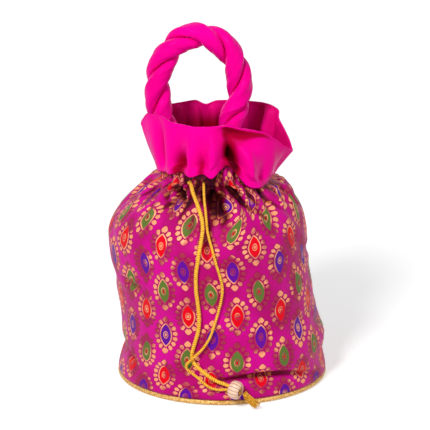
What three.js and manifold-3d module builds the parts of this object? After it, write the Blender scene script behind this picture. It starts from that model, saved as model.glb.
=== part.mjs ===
// Potli bag: a gathered brocade pouch on a round stiff base, with a satin frill above the
// drawstring, a handle of two twisted stuffed strands and a cord with a bead and a tassel.
// Millimetres. +Z is up, the front faces -Y, and the origin is the middle of the base underside.

import * as THREE from "three";
import Module from "manifold-3d";
import { mergeVertices } from "three/addons/utils/BufferGeometryUtils.js";

const wasm = await Module();
wasm.setup();

// Space left between two pieces that touch.
const GAP = 0.3;

// Base: a fabric cover, a cardboard board on it and a round piping at the edge.
const BASE_RADIUS = 80;
const PIPING_DIAMETER = 4;
const COVER_THICKNESS = 1;
const BOARD_THICKNESS = 2.7;
const BOARD_MARGIN = 0.5;

// Brocade body: the outline of its side, and the thickness of its cloth with the interlining.
const BODY_WALL = 1.6;
const BULGE_INSET = 0.4;
const BULGE_HEIGHT = 4.5;
const PINCH_RADIUS = 76.5;
const PINCH_HEIGHT = 22;
const WAIST_RADIUS = 74.5;
const WAIST_HEIGHT = 58;
const BELLY_RADIUS = 75;
const BELLY_HEIGHT = 112;
const NECK_RADIUS = 40;
const NECK_HEIGHT = 156;
const NECK_BAND = 6;
const NECK_RIPPLE = 2.6;
const SHOULDER_POWER = 1.55;

// The slack body leans: how far its middle lies towards -X at the belly and at the neck.
const BELLY_LEAN = 11;
const NECK_LEAN = 5.3;

// Gathers round the neck: the turn from the front in degrees, the depth of the furrow, the length
// of cloth that it runs down, and its half width in degrees.
const FURROWS = [
  { turn: 1, depth: 8, run: 46, half: 11 },
  { turn: 24, depth: 5, run: 30, half: 7 },
  { turn: 44, depth: 4.5, run: 34, half: 8 },
  { turn: 66, depth: 4, run: 26, half: 8 },
  { turn: 90, depth: 5, run: 32, half: 8 },
  { turn: 113, depth: 4, run: 26, half: 8 },
  { turn: 136, depth: 5, run: 34, half: 8 },
  { turn: 160, depth: 4, run: 28, half: 8 },
  { turn: 184, depth: 5, run: 36, half: 8 },
  { turn: 208, depth: 4, run: 28, half: 8 },
  { turn: 231, depth: 5, run: 32, half: 8 },
  { turn: 254, depth: 4, run: 26, half: 8 },
  { turn: 278, depth: 5, run: 32, half: 8 },
  { turn: 301, depth: 4, run: 28, half: 7 },
  { turn: 329, depth: 6, run: 34, half: 8 },
];

// A furrow is at its full depth from this share of its run. Below the neck it fades out between
// the two heights given here, and the ripple of the neck fades in over the third.
const FURROW_FULL_SHARE = 0.35;
const FURROW_END = 8;
const CASING_MARGIN = 1;
const RIPPLE_START = 10;

// Slack folds lower down: turn, height, depth (minus is inwards), half width and half height.
const SLACK_FOLDS = [
  { turn: 22, height: 15, depth: -2.2, half: 34, rise: 4 },
  { turn: 24, height: 25, depth: 2.2, half: 36, rise: 7 },
  { turn: 272, height: 25, depth: -2.6, half: 26, rise: 6 },
  { turn: 268, height: 80, depth: -2, half: 24, rise: 8 },
  { turn: 88, height: 33, depth: 3, half: 30, rise: 10 },
  { turn: 150, height: 60, depth: -2, half: 22, rise: 12 },
  { turn: 205, height: 95, depth: 2, half: 26, rise: 14 },
];

// Lining: a plain bag inside the body, on the board. It isn't furrowed, so it hangs further in
// where the body's folds and furrows reach.
const LINING_WALL = 1;
const LINING_GAP = 0.8;
const LINING_CORD_GAP = 0.5;
const FOLD_ROOM = 3.2;
const FURROW_ROOM = 7.4;

// The room for the furrows grows from just below the belly until this far below the neck.
const FURROW_ROOM_START = 4;
const FURROW_ROOM_FULL = 16;

// Drawstring: a cord in a casing between the body and the lining at the neck, out of two slits.
const CORD_DIAMETER = 2.4;
const CORD_GAP = 0.4;
const CORD_END_REACH = 0.5;
const CORD_STEPS = 46;
const SLIT_CLEARANCE = 1.7;
const LEFT_SLIT_TURN = -27;
const RIGHT_SLIT_TURN = -11;

// Behind a slit the cord bends into its ring: degrees past the slit, and how far outside the ring.
const CORD_EXIT_BEND = [
  { turn: 0.2, out: 1.8 },
  { turn: 3.2, out: 0.3 },
];
const CORD_EXIT_TURN = 7;
const CASING_POINTS = 25;
const CASING_STEPS = 48;

// Satin frill above the neck: two layers of cloth, folded at the rim.
const FRILL_THICKNESS = 1.6;
const FRILL_BOW = 1;

// The rim goes from the low tip at the left over the front to the low tip at the right, up the
// pointed flap behind it and along the back, with a notch. Heights are above the neck's top.
const RIM_POINTS = [
  [-60.6, 3, 33],
  [-60.8, -4.5, 31.6],
  [-55.4, -14, 41.8],
  [-46, -23, 42.8],
  [-39, -28.5, 38.8],
  [-30, -33, 37.7],
  [-20, -36.5, 36.6],
  [-9, -38.8, 37.2],
  [2, -41, 38.7],
  [13, -40, 36.2],
  [23, -37, 34.4],
  [31, -32.5, 31.7],
  [38, -27, 26.2],
  [46, -19.5, 18.6],
  [53, -10, 12],
  [50.5, -1, 19.6],
  [46.5, 5.5, 27],
  [42.5, 11.5, 33.5],
  [43.4, 18, 38.2],
  [38, 23.5, 41],
  [31, 28.5, 42.2],
  [21, 34, 42.1],
  [8, 38.5, 42.1],
  [-5, 39.5, 41.6],
  [-12.5, 36.5, 38.8],
  [-20, 39, 42.3],
  [-31, 36, 40.8],
  [-42, 28, 40.5],
  [-50.5, 19.5, 39.5],
  [-57.5, 11, 36.5],
];

// Pleats of the frill, deepest part way up: turn, depth, half width, and the share of the height
// at which they are deepest.
const PLEATS = [
  { turn: 14, depth: 11, half: 9, peak: 0.35 },
  { turn: -14, depth: 2.5, half: 6, peak: 0.2 },
  { turn: -36, depth: 3.5, half: 8, peak: 0.25 },
  { turn: -62, depth: 3.5, half: 8, peak: 0.4 },
  { turn: 52, depth: 4, half: 9, peak: 0.3 },
  { turn: 84, depth: 4, half: 9, peak: 0.4 },
  { turn: 112, depth: 6, half: 9, peak: 0.5 },
  { turn: 140, depth: 4, half: 9, peak: 0.4 },
  { turn: 168, depth: 5, half: 9, peak: 0.5 },
  { turn: 196, depth: 4, half: 9, peak: 0.4 },
  { turn: 224, depth: 5, half: 9, peak: 0.5 },
  { turn: 252, depth: 4, half: 9, peak: 0.4 },
];

// Handle: two stuffed strands twisted round each other, sewn inside the neck at both ends.
const ROPE_WIDTH = 19.4;
const ROPE_THICKNESS = 14.8;
const ROPE_HALF_PITCH = 28.5;
const ROPE_PHASE = 0.51;
const ROPE_SLACK = 0.5;
const ROPE_END_SCALE = 0.72;
const ROPE_TAPER = 0.1;
const STRAND_FLATTENING = 0.8;
const STRAND_STEPS = 52;
const STRAND_CORNERS = 10;

// The middle of the rope: up from the left of the neck, over, and down to the front right of the
// neck. Heights are above the neck's top.
const HANDLE_POINTS = [
  [-39, 0, 4],
  [-40, 0, 16],
  [-42.6, 0, 29],
  [-46.4, 0, 41],
  [-48.1, 0, 53],
  [-47.4, 0, 68],
  [-42, 0, 82],
  [-31.5, 0, 93.5],
  [-18.4, 0, 98],
  [-5.5, 0, 94.5],
  [5, 0, 85.5],
  [11, 0, 72],
  [12.8, 0, 58],
  [10.8, -1.5, 46],
  [7, -4.5, 36],
  [6, -9.5, 26],
  [9, -16, 15],
  [16.7, -24.4, 4],
];

// Bead on both cords, and the frayed tassel behind it.
const BEAD_DIAMETER = 13.4;
const BEAD_LENGTH = 8.6;
const BEAD_BORE = 6.2;
const BEAD_RIBS = 12;
const BEAD_RIB_DEPTH = 0.35;
const BEAD_PLACE = [9.4, -85.9, 14.6];
const BEAD_AXIS = [0.86, -0.44, -0.16];
const TASSEL_POINTS = [
  [15.8, -89.1, 13.4],
  [18, -88.8, 10.4],
  [21.4, -88, 6.6],
  [25.2, -87.2, 2.9],
];
const TASSEL_DIAMETERS = [4.6, 4.6, 4.9, 5.2];

// Routes of the two free cords: over the shoulder, down the front and into the bead.
const LEFT_CORD_POINTS = [
  [-24.4, -38, 157.5],
  [-23.5, -41, 157.6],
  [-22.6, -44.6, 156.6],
  [-21.8, -48.4, 154.1],
  [-20.3, -53, 150.5],
  [-18.3, -57.1, 146.3],
  [-16.2, -60.9, 140.8],
  [-14.7, -64.4, 135.7],
  [-14.3, -68.2, 130],
  [-15.2, -72.2, 123.6],
  [-16.7, -75.6, 116],
  [-17.9, -77, 108],
  [-19.1, -76.7, 98.7],
  [-19, -76.3, 86.5],
  [-17.9, -76.1, 77.4],
  [-16.9, -76, 66.8],
  [-17.4, -75.9, 56.9],
  [-19.6, -75.4, 48.3],
  [-21.7, -75, 40.7],
  [-22.2, -75, 35.8],
  [-20.4, -75.7, 31.2],
  [-15.3, -77.3, 26.4],
  [-8.6, -79, 21.6],
  [-3, -80, 18.6],
  [1.8, -81.6, 17.4],
  [5.9, -84.1, 16.6],
  [9.4, -85.9, 16],
  [13.3, -87.9, 15.3],
];
const RIGHT_CORD_POINTS = [
  [-13.6, -42.4, 157.5],
  [-13.6, -45, 157.2],
  [-13.5, -48.4, 155],
  [-13.3, -52.2, 150.7],
  [-12.8, -56.6, 145.4],
  [-12, -60.3, 139.4],
  [-11.5, -63.7, 134],
  [-10.9, -67.4, 129],
  [-9.6, -71.4, 124],
  [-7.5, -75, 117.2],
  [-4.6, -77, 106.6],
  [-1.6, -76.8, 96.5],
  [-0.1, -76.6, 88.2],
  [-1, -76.6, 79.2],
  [-3.2, -76.6, 70.1],
  [-5.8, -76.8, 61.1],
  [-8.9, -77, 51.9],
  [-13.3, -77.3, 44.3],
  [-18.4, -78, 38.8],
  [-22.8, -78.2, 34.7],
  [-25.6, -77.6, 31.8],
  [-26.4, -76.6, 29.2],
  [-25.5, -75.9, 26.6],
  [-23.2, -76, 24.6],
  [-18.2, -77.3, 21],
  [-13.2, -78.8, 16.8],
  [-8.3, -79.9, 13.8],
  [-2.8, -81, 12.9],
  [1.8, -82.2, 13.5],
  [5.9, -84.1, 13.9],
  [9.4, -85.9, 13.3],
  [13.3, -87.9, 12.6],
];

const rad = THREE.MathUtils.degToRad;
const smooth = THREE.MathUtils.smoothstep;

const SATIN = { color: 0xe6007a, roughness: 0.38, metalness: 0 };
const BROCADE = { color: 0xb8007c, roughness: 0.55, metalness: 0.1 };
const GOLD_CORD = { color: 0xf2b83a, roughness: 0.5, metalness: 0.2 };
const GOLD_BRAID = { color: 0xe8b860, roughness: 0.4, metalness: 0.5 };
const PLAIN_CLOTH = { color: 0x8a0050, roughness: 0.8, metalness: 0 };
const CARDBOARD = { color: 0xa88c64, roughness: 0.9, metalness: 0 };
const BEAD = { color: 0xe9c09a, roughness: 0.35, metalness: 0.2 };

// Shortest turn in degrees from one angle to another.
function turnBetween(from, to) {
  return THREE.MathUtils.euclideanModulo(to - from + 180, 360) - 180;
}

// A soft hill, 1 in its middle and near 0 two half widths away.
function hill(offset, half) {
  return Math.exp(-((offset / half) ** 2) * 1.4);
}

// A closed body through rings of points: the last ring joins the first, or both ends are capped.
function loft(rings, looped) {
  const count = rings[0].length;
  const points = rings.flat();
  const faces = [];
  const steps = looped ? rings.length : rings.length - 1;
  for (let r = 0; r < steps; r++) {
    const low = r * count;
    const high = ((r + 1) % rings.length) * count;
    for (let i = 0; i < count; i++) {
      const next = (i + 1) % count;
      faces.push(low + i, low + next, high + next);
      faces.push(low + i, high + next, high + i);
    }
  }
  if (!looped) {
    capRing(points, faces, 0, count, true);
    capRing(points, faces, (rings.length - 1) * count, count, false);
  }
  const geometry = new THREE.BufferGeometry().setFromPoints(points);
  geometry.setIndex(volumeOf(points, faces) < 0 ? faces.reverse() : faces);
  return geometry;
}

function capRing(points, faces, start, count, first) {
  const middle = new THREE.Vector3();
  for (let i = 0; i < count; i++) middle.add(points[start + i]);
  points.push(middle.divideScalar(count));
  for (let i = 0; i < count; i++) {
    const next = (i + 1) % count;
    const pair = first ? [start + next, start + i] : [start + i, start + next];
    faces.push(points.length - 1, ...pair);
  }
}

function volumeOf(points, faces) {
  let volume = 0;
  for (let i = 0; i < faces.length; i += 3) {
    const [a, b, c] = [points[faces[i]], points[faces[i + 1]], points[faces[i + 2]]];
    volume += a.dot(b.clone().cross(c)) / 6;
  }
  return volume;
}

// The point of a surface moved out along its normal, or in where the distance is minus.
function offsetPoint(surface, turn, share, distance) {
  const along = surface(turn + 1, share).sub(surface(turn - 1, share));
  const low = surface(turn, Math.max(share - 0.01, 0));
  const up = surface(turn, Math.min(share + 0.01, 1)).sub(low);
  const out = along.cross(up).normalize();
  return surface(turn, share).addScaledVector(out, distance);
}

function ringOf(around, pointAt) {
  return Array.from({ length: around }, (_, i) => pointAt((i / around) * 360));
}

// A cloth wall: surface(turn, share) is its outer face, and the wall lies behind it, with a level
// lower edge. With a floor it is a bag closed below, and otherwise it is open at both ends.
function clothWall(surface, around, shares, thickness, floor = 0) {
  const outer = [];
  const inner = [];
  for (const share of shares) {
    outer.push(ringOf(around, (turn) => surface(turn, share)));
    inner.push(ringOf(around, (turn) => offsetPoint(surface, turn, share, -thickness)));
  }
  inner[0].forEach((point, i) => point.setZ(outer[0][i].z + floor));
  return loft([...outer, ...inner.reverse()], floor === 0);
}

// Evenly spaced shares from 0 to 1.
function sharesOf(count) {
  return Array.from({ length: count }, (_, i) => i / (count - 1));
}

function mesh(name, geometry, finish) {
  const material = new THREE.MeshStandardMaterial(finish);
  const piece = new THREE.Mesh(geometry, material);
  piece.name = name;
  return piece;
}

// Solids for cuts, and back again.
function solidOf(geometry) {
  const bare = geometry.clone();
  bare.deleteAttribute("normal");
  bare.deleteAttribute("uv");
  const merged = mergeVertices(bare, 1e-4);
  return new wasm.Manifold(
    new wasm.Mesh({
      numProp: 3,
      vertProperties: new Float32Array(merged.attributes.position.array),
      triVerts: new Uint32Array(merged.index.array),
    }),
  );
}

function geometryOf(solid) {
  const cut = solid.getMesh();
  const geometry = new THREE.BufferGeometry();
  geometry.setAttribute("position", new THREE.BufferAttribute(cut.vertProperties, 3));
  geometry.setIndex(new THREE.BufferAttribute(cut.triVerts, 1));
  return geometry;
}

// Base

const PIPING_RING = BASE_RADIUS - PIPING_DIAMETER / 2;
const COVER_RADIUS = PIPING_RING - PIPING_DIAMETER / 2 - GAP;
const BOARD_BOTTOM = COVER_THICKNESS + GAP;
const BODY_BOTTOM = PIPING_DIAMETER + GAP;

function disc(radius, thickness, bottom) {
  const geometry = new THREE.CylinderGeometry(radius, radius, thickness, 64);
  geometry.rotateX(Math.PI / 2);
  geometry.translate(0, 0, bottom + thickness / 2);
  return geometry;
}

function basePiping() {
  const geometry = new THREE.TorusGeometry(PIPING_RING, PIPING_DIAMETER / 2, 8, 64);
  return geometry.translate(0, 0, PIPING_DIAMETER / 2);
}

// Body

// Shares of the way up at which the side ends and the shoulder ends.
const SIDE_SHARE = 0.45;
const SHOULDER_SHARE = 0.94;

// Radius and height of the body's side: up the side, over the shoulder and up the neck band.
function sideOf(share) {
  if (share <= SIDE_SHARE) {
    const height = THREE.MathUtils.lerp(BODY_BOTTOM, BELLY_HEIGHT, share / SIDE_SHARE);
    return [sideRadius(height), height];
  }
  if (share <= SHOULDER_SHARE) {
    const angle = (((share - SIDE_SHARE) / (SHOULDER_SHARE - SIDE_SHARE)) * Math.PI) / 2;
    const inward = Math.cos(angle) ** (2 / SHOULDER_POWER);
    const upward = Math.sin(angle) ** (2 / SHOULDER_POWER);
    return [
      NECK_RADIUS + (BELLY_RADIUS - NECK_RADIUS) * inward,
      BELLY_HEIGHT + (NECK_HEIGHT - BELLY_HEIGHT) * upward,
    ];
  }
  const rise = (share - SHOULDER_SHARE) / (1 - SHOULDER_SHARE);
  return [NECK_RADIUS, NECK_HEIGHT + NECK_BAND * rise];
}

function sideRadius(height) {
  const bulge = BASE_RADIUS - BULGE_INSET;
  const pinch = smooth(height, BULGE_HEIGHT, PINCH_HEIGHT);
  const waist = smooth(height, PINCH_HEIGHT, WAIST_HEIGHT);
  const belly = smooth(height, WAIST_HEIGHT, BELLY_HEIGHT);
  return (
    bulge +
    (PINCH_RADIUS - bulge) * pinch +
    (WAIST_RADIUS - PINCH_RADIUS) * waist +
    (BELLY_RADIUS - WAIST_RADIUS) * belly
  );
}

// How far the body's middle lies towards -X.
function leanAt(height) {
  const towardsBelly = smooth(height, PINCH_HEIGHT, BELLY_HEIGHT);
  const towardsNeck = smooth(height, BELLY_HEIGHT, NECK_HEIGHT);
  return BELLY_LEAN * towardsBelly + (NECK_LEAN - BELLY_LEAN) * towardsNeck;
}

// Furrows go out to nothing at the belly and again at the casing, which holds the cord.
function furrowDepth(turn, height) {
  let depth = 0;
  const casing = 1 - smooth(height, NECK_HEIGHT - FURROW_END, NECK_HEIGHT - CASING_MARGIN);
  for (const furrow of FURROWS) {
    const full = NECK_HEIGHT - furrow.run * FURROW_FULL_SHARE;
    const reach = smooth(height, NECK_HEIGHT - furrow.run, full);
    depth += furrow.depth * hill(turnBetween(furrow.turn, turn), furrow.half) * reach * casing;
  }
  return depth;
}

function slackAt(turn, height) {
  let out = 0;
  for (const fold of SLACK_FOLDS) {
    const across = hill(turnBetween(fold.turn, turn), fold.half);
    out += fold.depth * across * hill(height - fold.height, fold.rise);
  }
  return out;
}

// At the neck the cloth stands out in ridges between the furrows.
function rippleAt(turn) {
  let filled = 0;
  for (const furrow of FURROWS) filled += hill(turnBetween(furrow.turn, turn), furrow.half);
  return NECK_RIPPLE * Math.max(1 - filled, 0);
}

function bodySurface(turn, share) {
  const [radius, height] = sideOf(share);
  const ripple = rippleAt(turn) * smooth(height, NECK_HEIGHT - RIPPLE_START, NECK_HEIGHT);
  const out = radius + ripple - furrowDepth(turn, height) + slackAt(turn, height);
  const x = -leanAt(height) + out * Math.sin(rad(turn));
  return new THREE.Vector3(x, -out * Math.cos(rad(turn)), height);
}

const BODY_SHARES = [
  0, 0.035, 0.075, 0.12, 0.18, 0.27, 0.36, 0.45, 0.55, 0.64, 0.72, 0.79, 0.86, 0.94, 1,
];
const NECK_TOP = NECK_HEIGHT + NECK_BAND;
const CASING_HEIGHT = NECK_HEIGHT + GAP + CORD_DIAMETER / 2;
const CASING_RADIUS = NECK_RADIUS - BODY_WALL - CORD_GAP - CORD_DIAMETER / 2;

function brocadeBody() {
  let solid = solidOf(clothWall(bodySurface, 64, BODY_SHARES, BODY_WALL));
  for (const turn of [LEFT_SLIT_TURN, RIGHT_SLIT_TURN]) {
    solid = solid.subtract(solidOf(slitCutter(turn)));
  }
  return geometryOf(solid);
}

// A round hole through the wall where a cord comes out.
function slitCutter(turn) {
  const radius = CORD_DIAMETER / 2 + SLIT_CLEARANCE;
  const cutter = new THREE.CylinderGeometry(radius, radius, 4 * BODY_WALL, 12);
  cutter.translate(0, -NECK_RADIUS, 0);
  cutter.rotateZ(rad(turn));
  cutter.translate(-NECK_LEAN, 0, CASING_HEIGHT);
  return cutter;
}

// Lining: a smooth bag that leaves room for the cord at the neck.

const LINING_SHARES = [0, 0.1, 0.25, 0.45, 0.6, 0.74, 0.86, 0.94, 1];
const LINING_NECK_INSET = NECK_RADIUS - CASING_RADIUS + CORD_DIAMETER / 2 + LINING_CORD_GAP;

function liningSurface(turn, share) {
  const [radius, height] = sideOf(share);
  const folds = FOLD_ROOM * smooth(height, BODY_BOTTOM, PINCH_HEIGHT);
  const furrowStart = BELLY_HEIGHT - FURROW_ROOM_START;
  const furrows = FURROW_ROOM * smooth(height, furrowStart, NECK_HEIGHT - FURROW_ROOM_FULL);
  const inset = BODY_WALL + LINING_GAP + folds + furrows;
  const atNeck = smooth(height, NECK_HEIGHT - FURROW_END, NECK_HEIGHT);
  const reach = radius - inset - (LINING_NECK_INSET - inset) * atNeck;
  const x = reach * Math.sin(rad(turn)) - leanAt(height);
  return new THREE.Vector3(x, -reach * Math.cos(rad(turn)), height);
}

function liningBag() {
  return clothWall(liningSurface, 40, LINING_SHARES, LINING_WALL, LINING_WALL);
}

// Cords

function cordAlong(points, steps) {
  const circle = new THREE.Shape(
    Array.from({ length: 8 }, (_, i) => {
      const angle = (i / 8) * Math.PI * 2;
      return new THREE.Vector2(Math.cos(angle), Math.sin(angle)).multiplyScalar(CORD_DIAMETER / 2);
    }),
  );
  const extrudePath = new THREE.CatmullRomCurve3(points);
  return new THREE.ExtrudeGeometry(circle, { steps, extrudePath });
}

function vectors(points) {
  return points.map((point) => new THREE.Vector3(...point));
}

// A point of the casing's ring, turned from the front.
function casingPoint(turn, radius) {
  const x = radius * Math.sin(rad(turn)) - NECK_LEAN;
  return new THREE.Vector3(x, -radius * Math.cos(rad(turn)), CASING_HEIGHT);
}

// The hidden length goes from one slit round the neck to the other, and out at each end.
function drawstringInCasing() {
  const first = RIGHT_SLIT_TURN + CORD_EXIT_TURN;
  const last = LEFT_SLIT_TURN + 360 - CORD_EXIT_TURN;
  const ring = sharesOf(CASING_POINTS).map((share) =>
    casingPoint(THREE.MathUtils.lerp(first, last, share), CASING_RADIUS),
  );
  const points = [...cordExit(RIGHT_SLIT_TURN, 1), ...ring, ...cordExit(LEFT_SLIT_TURN, -1).reverse()];
  return cordAlong(points, CASING_STEPS);
}

// From outside a slit into the casing. The side says which way round the cord then goes.
function cordExit(slit, side) {
  const outside = casingPoint(slit, NECK_RADIUS + rippleAt(slit) + CORD_END_REACH);
  const bend = CORD_EXIT_BEND.map(({ turn, out }) =>
    casingPoint(slit + side * turn, CASING_RADIUS + out),
  );
  return [outside, ...bend];
}

// Frill

// Points whose heights are given above the top of the neck.
function aboveNeck(points) {
  return points.map(([x, y, height]) => new THREE.Vector3(x, y, NECK_TOP + height));
}

const RIM = new THREE.CatmullRomCurve3(aboveNeck(RIM_POINTS), true);

function frillSurface(turn, share) {
  const rim = RIM.getPoint(THREE.MathUtils.euclideanModulo(turn, 360) / 360);
  const facing = Math.atan2(rim.x + NECK_LEAN, -rim.y);
  const outward = new THREE.Vector3(Math.sin(facing), -Math.cos(facing), 0);
  const seam = new THREE.Vector3(-NECK_LEAN, 0, NECK_TOP + GAP);
  const seamRadius = NECK_RADIUS + rippleAt(THREE.MathUtils.radToDeg(facing));
  seam.addScaledVector(outward, seamRadius);
  const point = seam.lerp(rim, share);
  const bow = FRILL_BOW * Math.sin(Math.PI * share);
  return point.addScaledVector(outward, bow - pleatDepth(THREE.MathUtils.radToDeg(facing), share));
}

// Pleats start at the seam, are deepest part way up, and are gone at the rim.
function pleatDepth(turn, share) {
  let depth = 0;
  for (const pleat of PLEATS) {
    const across = hill(turnBetween(pleat.turn, turn), pleat.half);
    const up = share < pleat.peak ? share / pleat.peak : (1 - share) / (1 - pleat.peak);
    depth += pleat.depth * across * Math.sin((up * Math.PI) / 2);
  }
  return depth;
}

function frill() {
  return clothWall(frillSurface, 84, sharesOf(7), FRILL_THICKNESS);
}

// Handle

const HANDLE_PATH = new THREE.CatmullRomCurve3(aboveNeck(HANDLE_POINTS));

// One strand: half of the rope's section, turned round the rope's middle along the path.
function handleStrand(side) {
  const length = HANDLE_PATH.getLength();
  const rings = [];
  for (let i = 0; i <= STRAND_STEPS; i++) {
    const share = i / STRAND_STEPS;
    const middle = HANDLE_PATH.getPointAt(share);
    const along = HANDLE_PATH.getTangentAt(share);
    const front = new THREE.Vector3(0, -1, 0);
    const outer = front.clone().cross(along).normalize();
    const groove = (Math.PI * (share - ROPE_PHASE) * length) / ROPE_HALF_PITCH;
    const angle = groove + (side * Math.PI) / 2;
    const centre = outer.clone().multiplyScalar(Math.cos(angle));
    centre.addScaledVector(front, Math.sin(angle));
    const across = along.clone().cross(centre);
    const end = smooth(Math.min(share, 1 - share), 0, ROPE_TAPER);
    const scale = ROPE_END_SCALE + (1 - ROPE_END_SCALE) * end;
    rings.push(strandRing(middle, centre, across, scale));
  }
  return loft(rings, false);
}

function strandRing(middle, centre, across, scale) {
  const deep = (ROPE_WIDTH - ROPE_SLACK) / 4;
  const wide = ROPE_THICKNESS / 2;
  const ring = [];
  for (let i = 0; i < STRAND_CORNERS; i++) {
    const angle = (i / STRAND_CORNERS) * Math.PI * 2;
    const cos = Math.cos(angle);
    const reach = cos < 0 ? -(Math.abs(cos) ** STRAND_FLATTENING) : cos;
    const out = ROPE_SLACK / 2 + deep * (1 + reach) * scale;
    const side = wide * Math.sin(angle) * scale;
    ring.push(middle.clone().addScaledVector(centre, out).addScaledVector(across, side));
  }
  return ring;
}

// Bead and tassel

// A ribbed barrel with a bore: its section is closed, and goes round the bore.
function bead() {
  const half = BEAD_LENGTH / 2;
  const bore = BEAD_BORE / 2;
  const belly = BEAD_DIAMETER / 2;
  const lip = (bore + belly) / 2;
  const outline = [
    [bore, -half],
    [lip, -half],
    [belly * 0.95, -half / 2],
    [belly, 0],
    [belly * 0.95, half / 2],
    [lip, half],
    [bore, half],
  ];
  const rings = [];
  const around = BEAD_RIBS * 4;
  for (let i = 0; i < around; i++) {
    const angle = (i / around) * Math.PI * 2;
    const rib = BEAD_RIB_DEPTH * Math.cos(BEAD_RIBS * angle);
    rings.push(
      outline.map(([radius, along]) => {
        const reach = radius > bore ? radius + rib : radius;
        return new THREE.Vector3(reach * Math.cos(angle), reach * Math.sin(angle), along);
      }),
    );
  }
  return loft(rings, true);
}

function tassel() {
  const path = new THREE.CatmullRomCurve3(vectors(TASSEL_POINTS));
  const rings = [];
  const steps = 6;
  for (let i = 0; i <= steps; i++) {
    const place = (i / steps) * (TASSEL_DIAMETERS.length - 1);
    const low = Math.min(Math.floor(place), TASSEL_DIAMETERS.length - 2);
    const [from, to] = TASSEL_DIAMETERS.slice(low, low + 2);
    const radius = THREE.MathUtils.lerp(from, to, place - low) / 2;
    const middle = path.getPoint(i / steps);
    const along = path.getTangent(i / steps);
    const across = new THREE.Vector3(0, 0, 1).cross(along).normalize();
    const up = along.clone().cross(across);
    rings.push(
      ringOf(10, (turn) => {
        const side = radius * Math.cos(rad(turn));
        const rise = radius * Math.sin(rad(turn));
        return middle.clone().addScaledVector(across, side).addScaledVector(up, rise);
      }),
    );
  }
  return loft(rings, false);
}

const beadMesh = mesh("bead", bead(), BEAD);
beadMesh.position.set(...BEAD_PLACE);
const beadAxis = new THREE.Vector3(...BEAD_AXIS).normalize();
beadMesh.quaternion.setFromUnitVectors(new THREE.Vector3(0, 0, 1), beadAxis);

const group = new THREE.Group();
group.add(
  mesh("base_cover", disc(COVER_RADIUS, COVER_THICKNESS, 0), PLAIN_CLOTH),
  mesh("base_board", disc(COVER_RADIUS - BOARD_MARGIN, BOARD_THICKNESS, BOARD_BOTTOM), CARDBOARD),
  mesh("base_piping", basePiping(), GOLD_BRAID),
  mesh("brocade_body", brocadeBody(), BROCADE),
  mesh("lining_bag", liningBag(), PLAIN_CLOTH),
  mesh("frill", frill(), SATIN),
  mesh("handle_strand_a", handleStrand(1), SATIN),
  mesh("handle_strand_b", handleStrand(-1), SATIN),
  mesh("drawstring_in_casing", drawstringInCasing(), GOLD_CORD),
  mesh("drawstring_left", cordAlong(vectors(LEFT_CORD_POINTS), CORD_STEPS), GOLD_CORD),
  mesh("drawstring_right", cordAlong(vectors(RIGHT_CORD_POINTS), CORD_STEPS), GOLD_CORD),
  beadMesh,
  mesh("tassel", tassel(), GOLD_CORD),
);

export default group;
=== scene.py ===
# %% [markdown]
# # A potli bag
# A potli is a small gathered pouch. This one has a brocade body on a round stiff base, a satin
# frill above the drawstring, a handle of two twisted stuffed strands, and a gold cord whose two
# ends pass through a bead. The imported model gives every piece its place, and this script gives
# each one its cloth. Sizes are written in millimetres and become metres when a mesh is made.

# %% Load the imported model
import math

import bpy
import numpy as np
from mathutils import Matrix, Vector


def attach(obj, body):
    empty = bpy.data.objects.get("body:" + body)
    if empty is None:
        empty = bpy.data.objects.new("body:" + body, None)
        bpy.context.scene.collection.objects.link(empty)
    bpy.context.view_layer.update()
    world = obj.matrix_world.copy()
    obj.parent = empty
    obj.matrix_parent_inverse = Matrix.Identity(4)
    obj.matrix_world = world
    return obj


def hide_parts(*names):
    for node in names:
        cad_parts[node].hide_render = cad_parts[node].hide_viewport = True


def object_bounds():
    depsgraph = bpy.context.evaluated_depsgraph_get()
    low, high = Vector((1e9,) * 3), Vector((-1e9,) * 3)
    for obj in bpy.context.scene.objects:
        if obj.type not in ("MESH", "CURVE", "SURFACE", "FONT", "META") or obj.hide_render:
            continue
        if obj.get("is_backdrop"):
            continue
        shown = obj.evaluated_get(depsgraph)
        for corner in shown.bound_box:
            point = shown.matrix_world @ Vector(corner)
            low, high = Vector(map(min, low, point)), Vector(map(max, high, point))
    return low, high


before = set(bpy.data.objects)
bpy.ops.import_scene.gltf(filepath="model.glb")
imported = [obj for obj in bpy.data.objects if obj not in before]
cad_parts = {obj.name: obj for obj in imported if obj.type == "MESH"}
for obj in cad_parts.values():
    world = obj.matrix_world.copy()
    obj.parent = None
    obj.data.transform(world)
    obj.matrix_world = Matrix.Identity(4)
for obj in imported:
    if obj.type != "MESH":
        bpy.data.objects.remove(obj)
cad_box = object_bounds()
MM = 0.001
print("nodes", sorted(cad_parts))

# %% [markdown]
# ## Camera
# The bag is seen from the front and a little above. The long lens keeps its sides parallel, as
# in a product photograph. The camera's place, in metres, and its tilt were worked out from the
# ellipse of the base.

# %% Camera
CAMERA_LENS = 149.02
CAMERA_PLACE = (-0.0054, -1.300, 0.465)
CAMERA_TILT = 75.26

scene = bpy.context.scene
scene.view_settings.view_transform = "Standard"
camera_data = bpy.data.cameras.new("camera")
camera_data.sensor_width = 36.0
camera_data.lens = CAMERA_LENS
camera = bpy.data.objects.new("camera", camera_data)
camera.location = CAMERA_PLACE
camera.rotation_euler = (math.radians(CAMERA_TILT), 0, 0)
scene.collection.objects.link(camera)
scene.camera = camera
print("camera at", CAMERA_PLACE, "tilted by", CAMERA_TILT)

# %% [markdown]
# ## Helpers for shapes
# Most pieces here are lofts: rows of points that go round, joined into quads. One helper makes
# such a mesh, and writes a texture coordinate for each corner, so that a pattern can follow the
# cloth however the cloth is folded. Angles are turns in degrees from the front of the bag.

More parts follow.
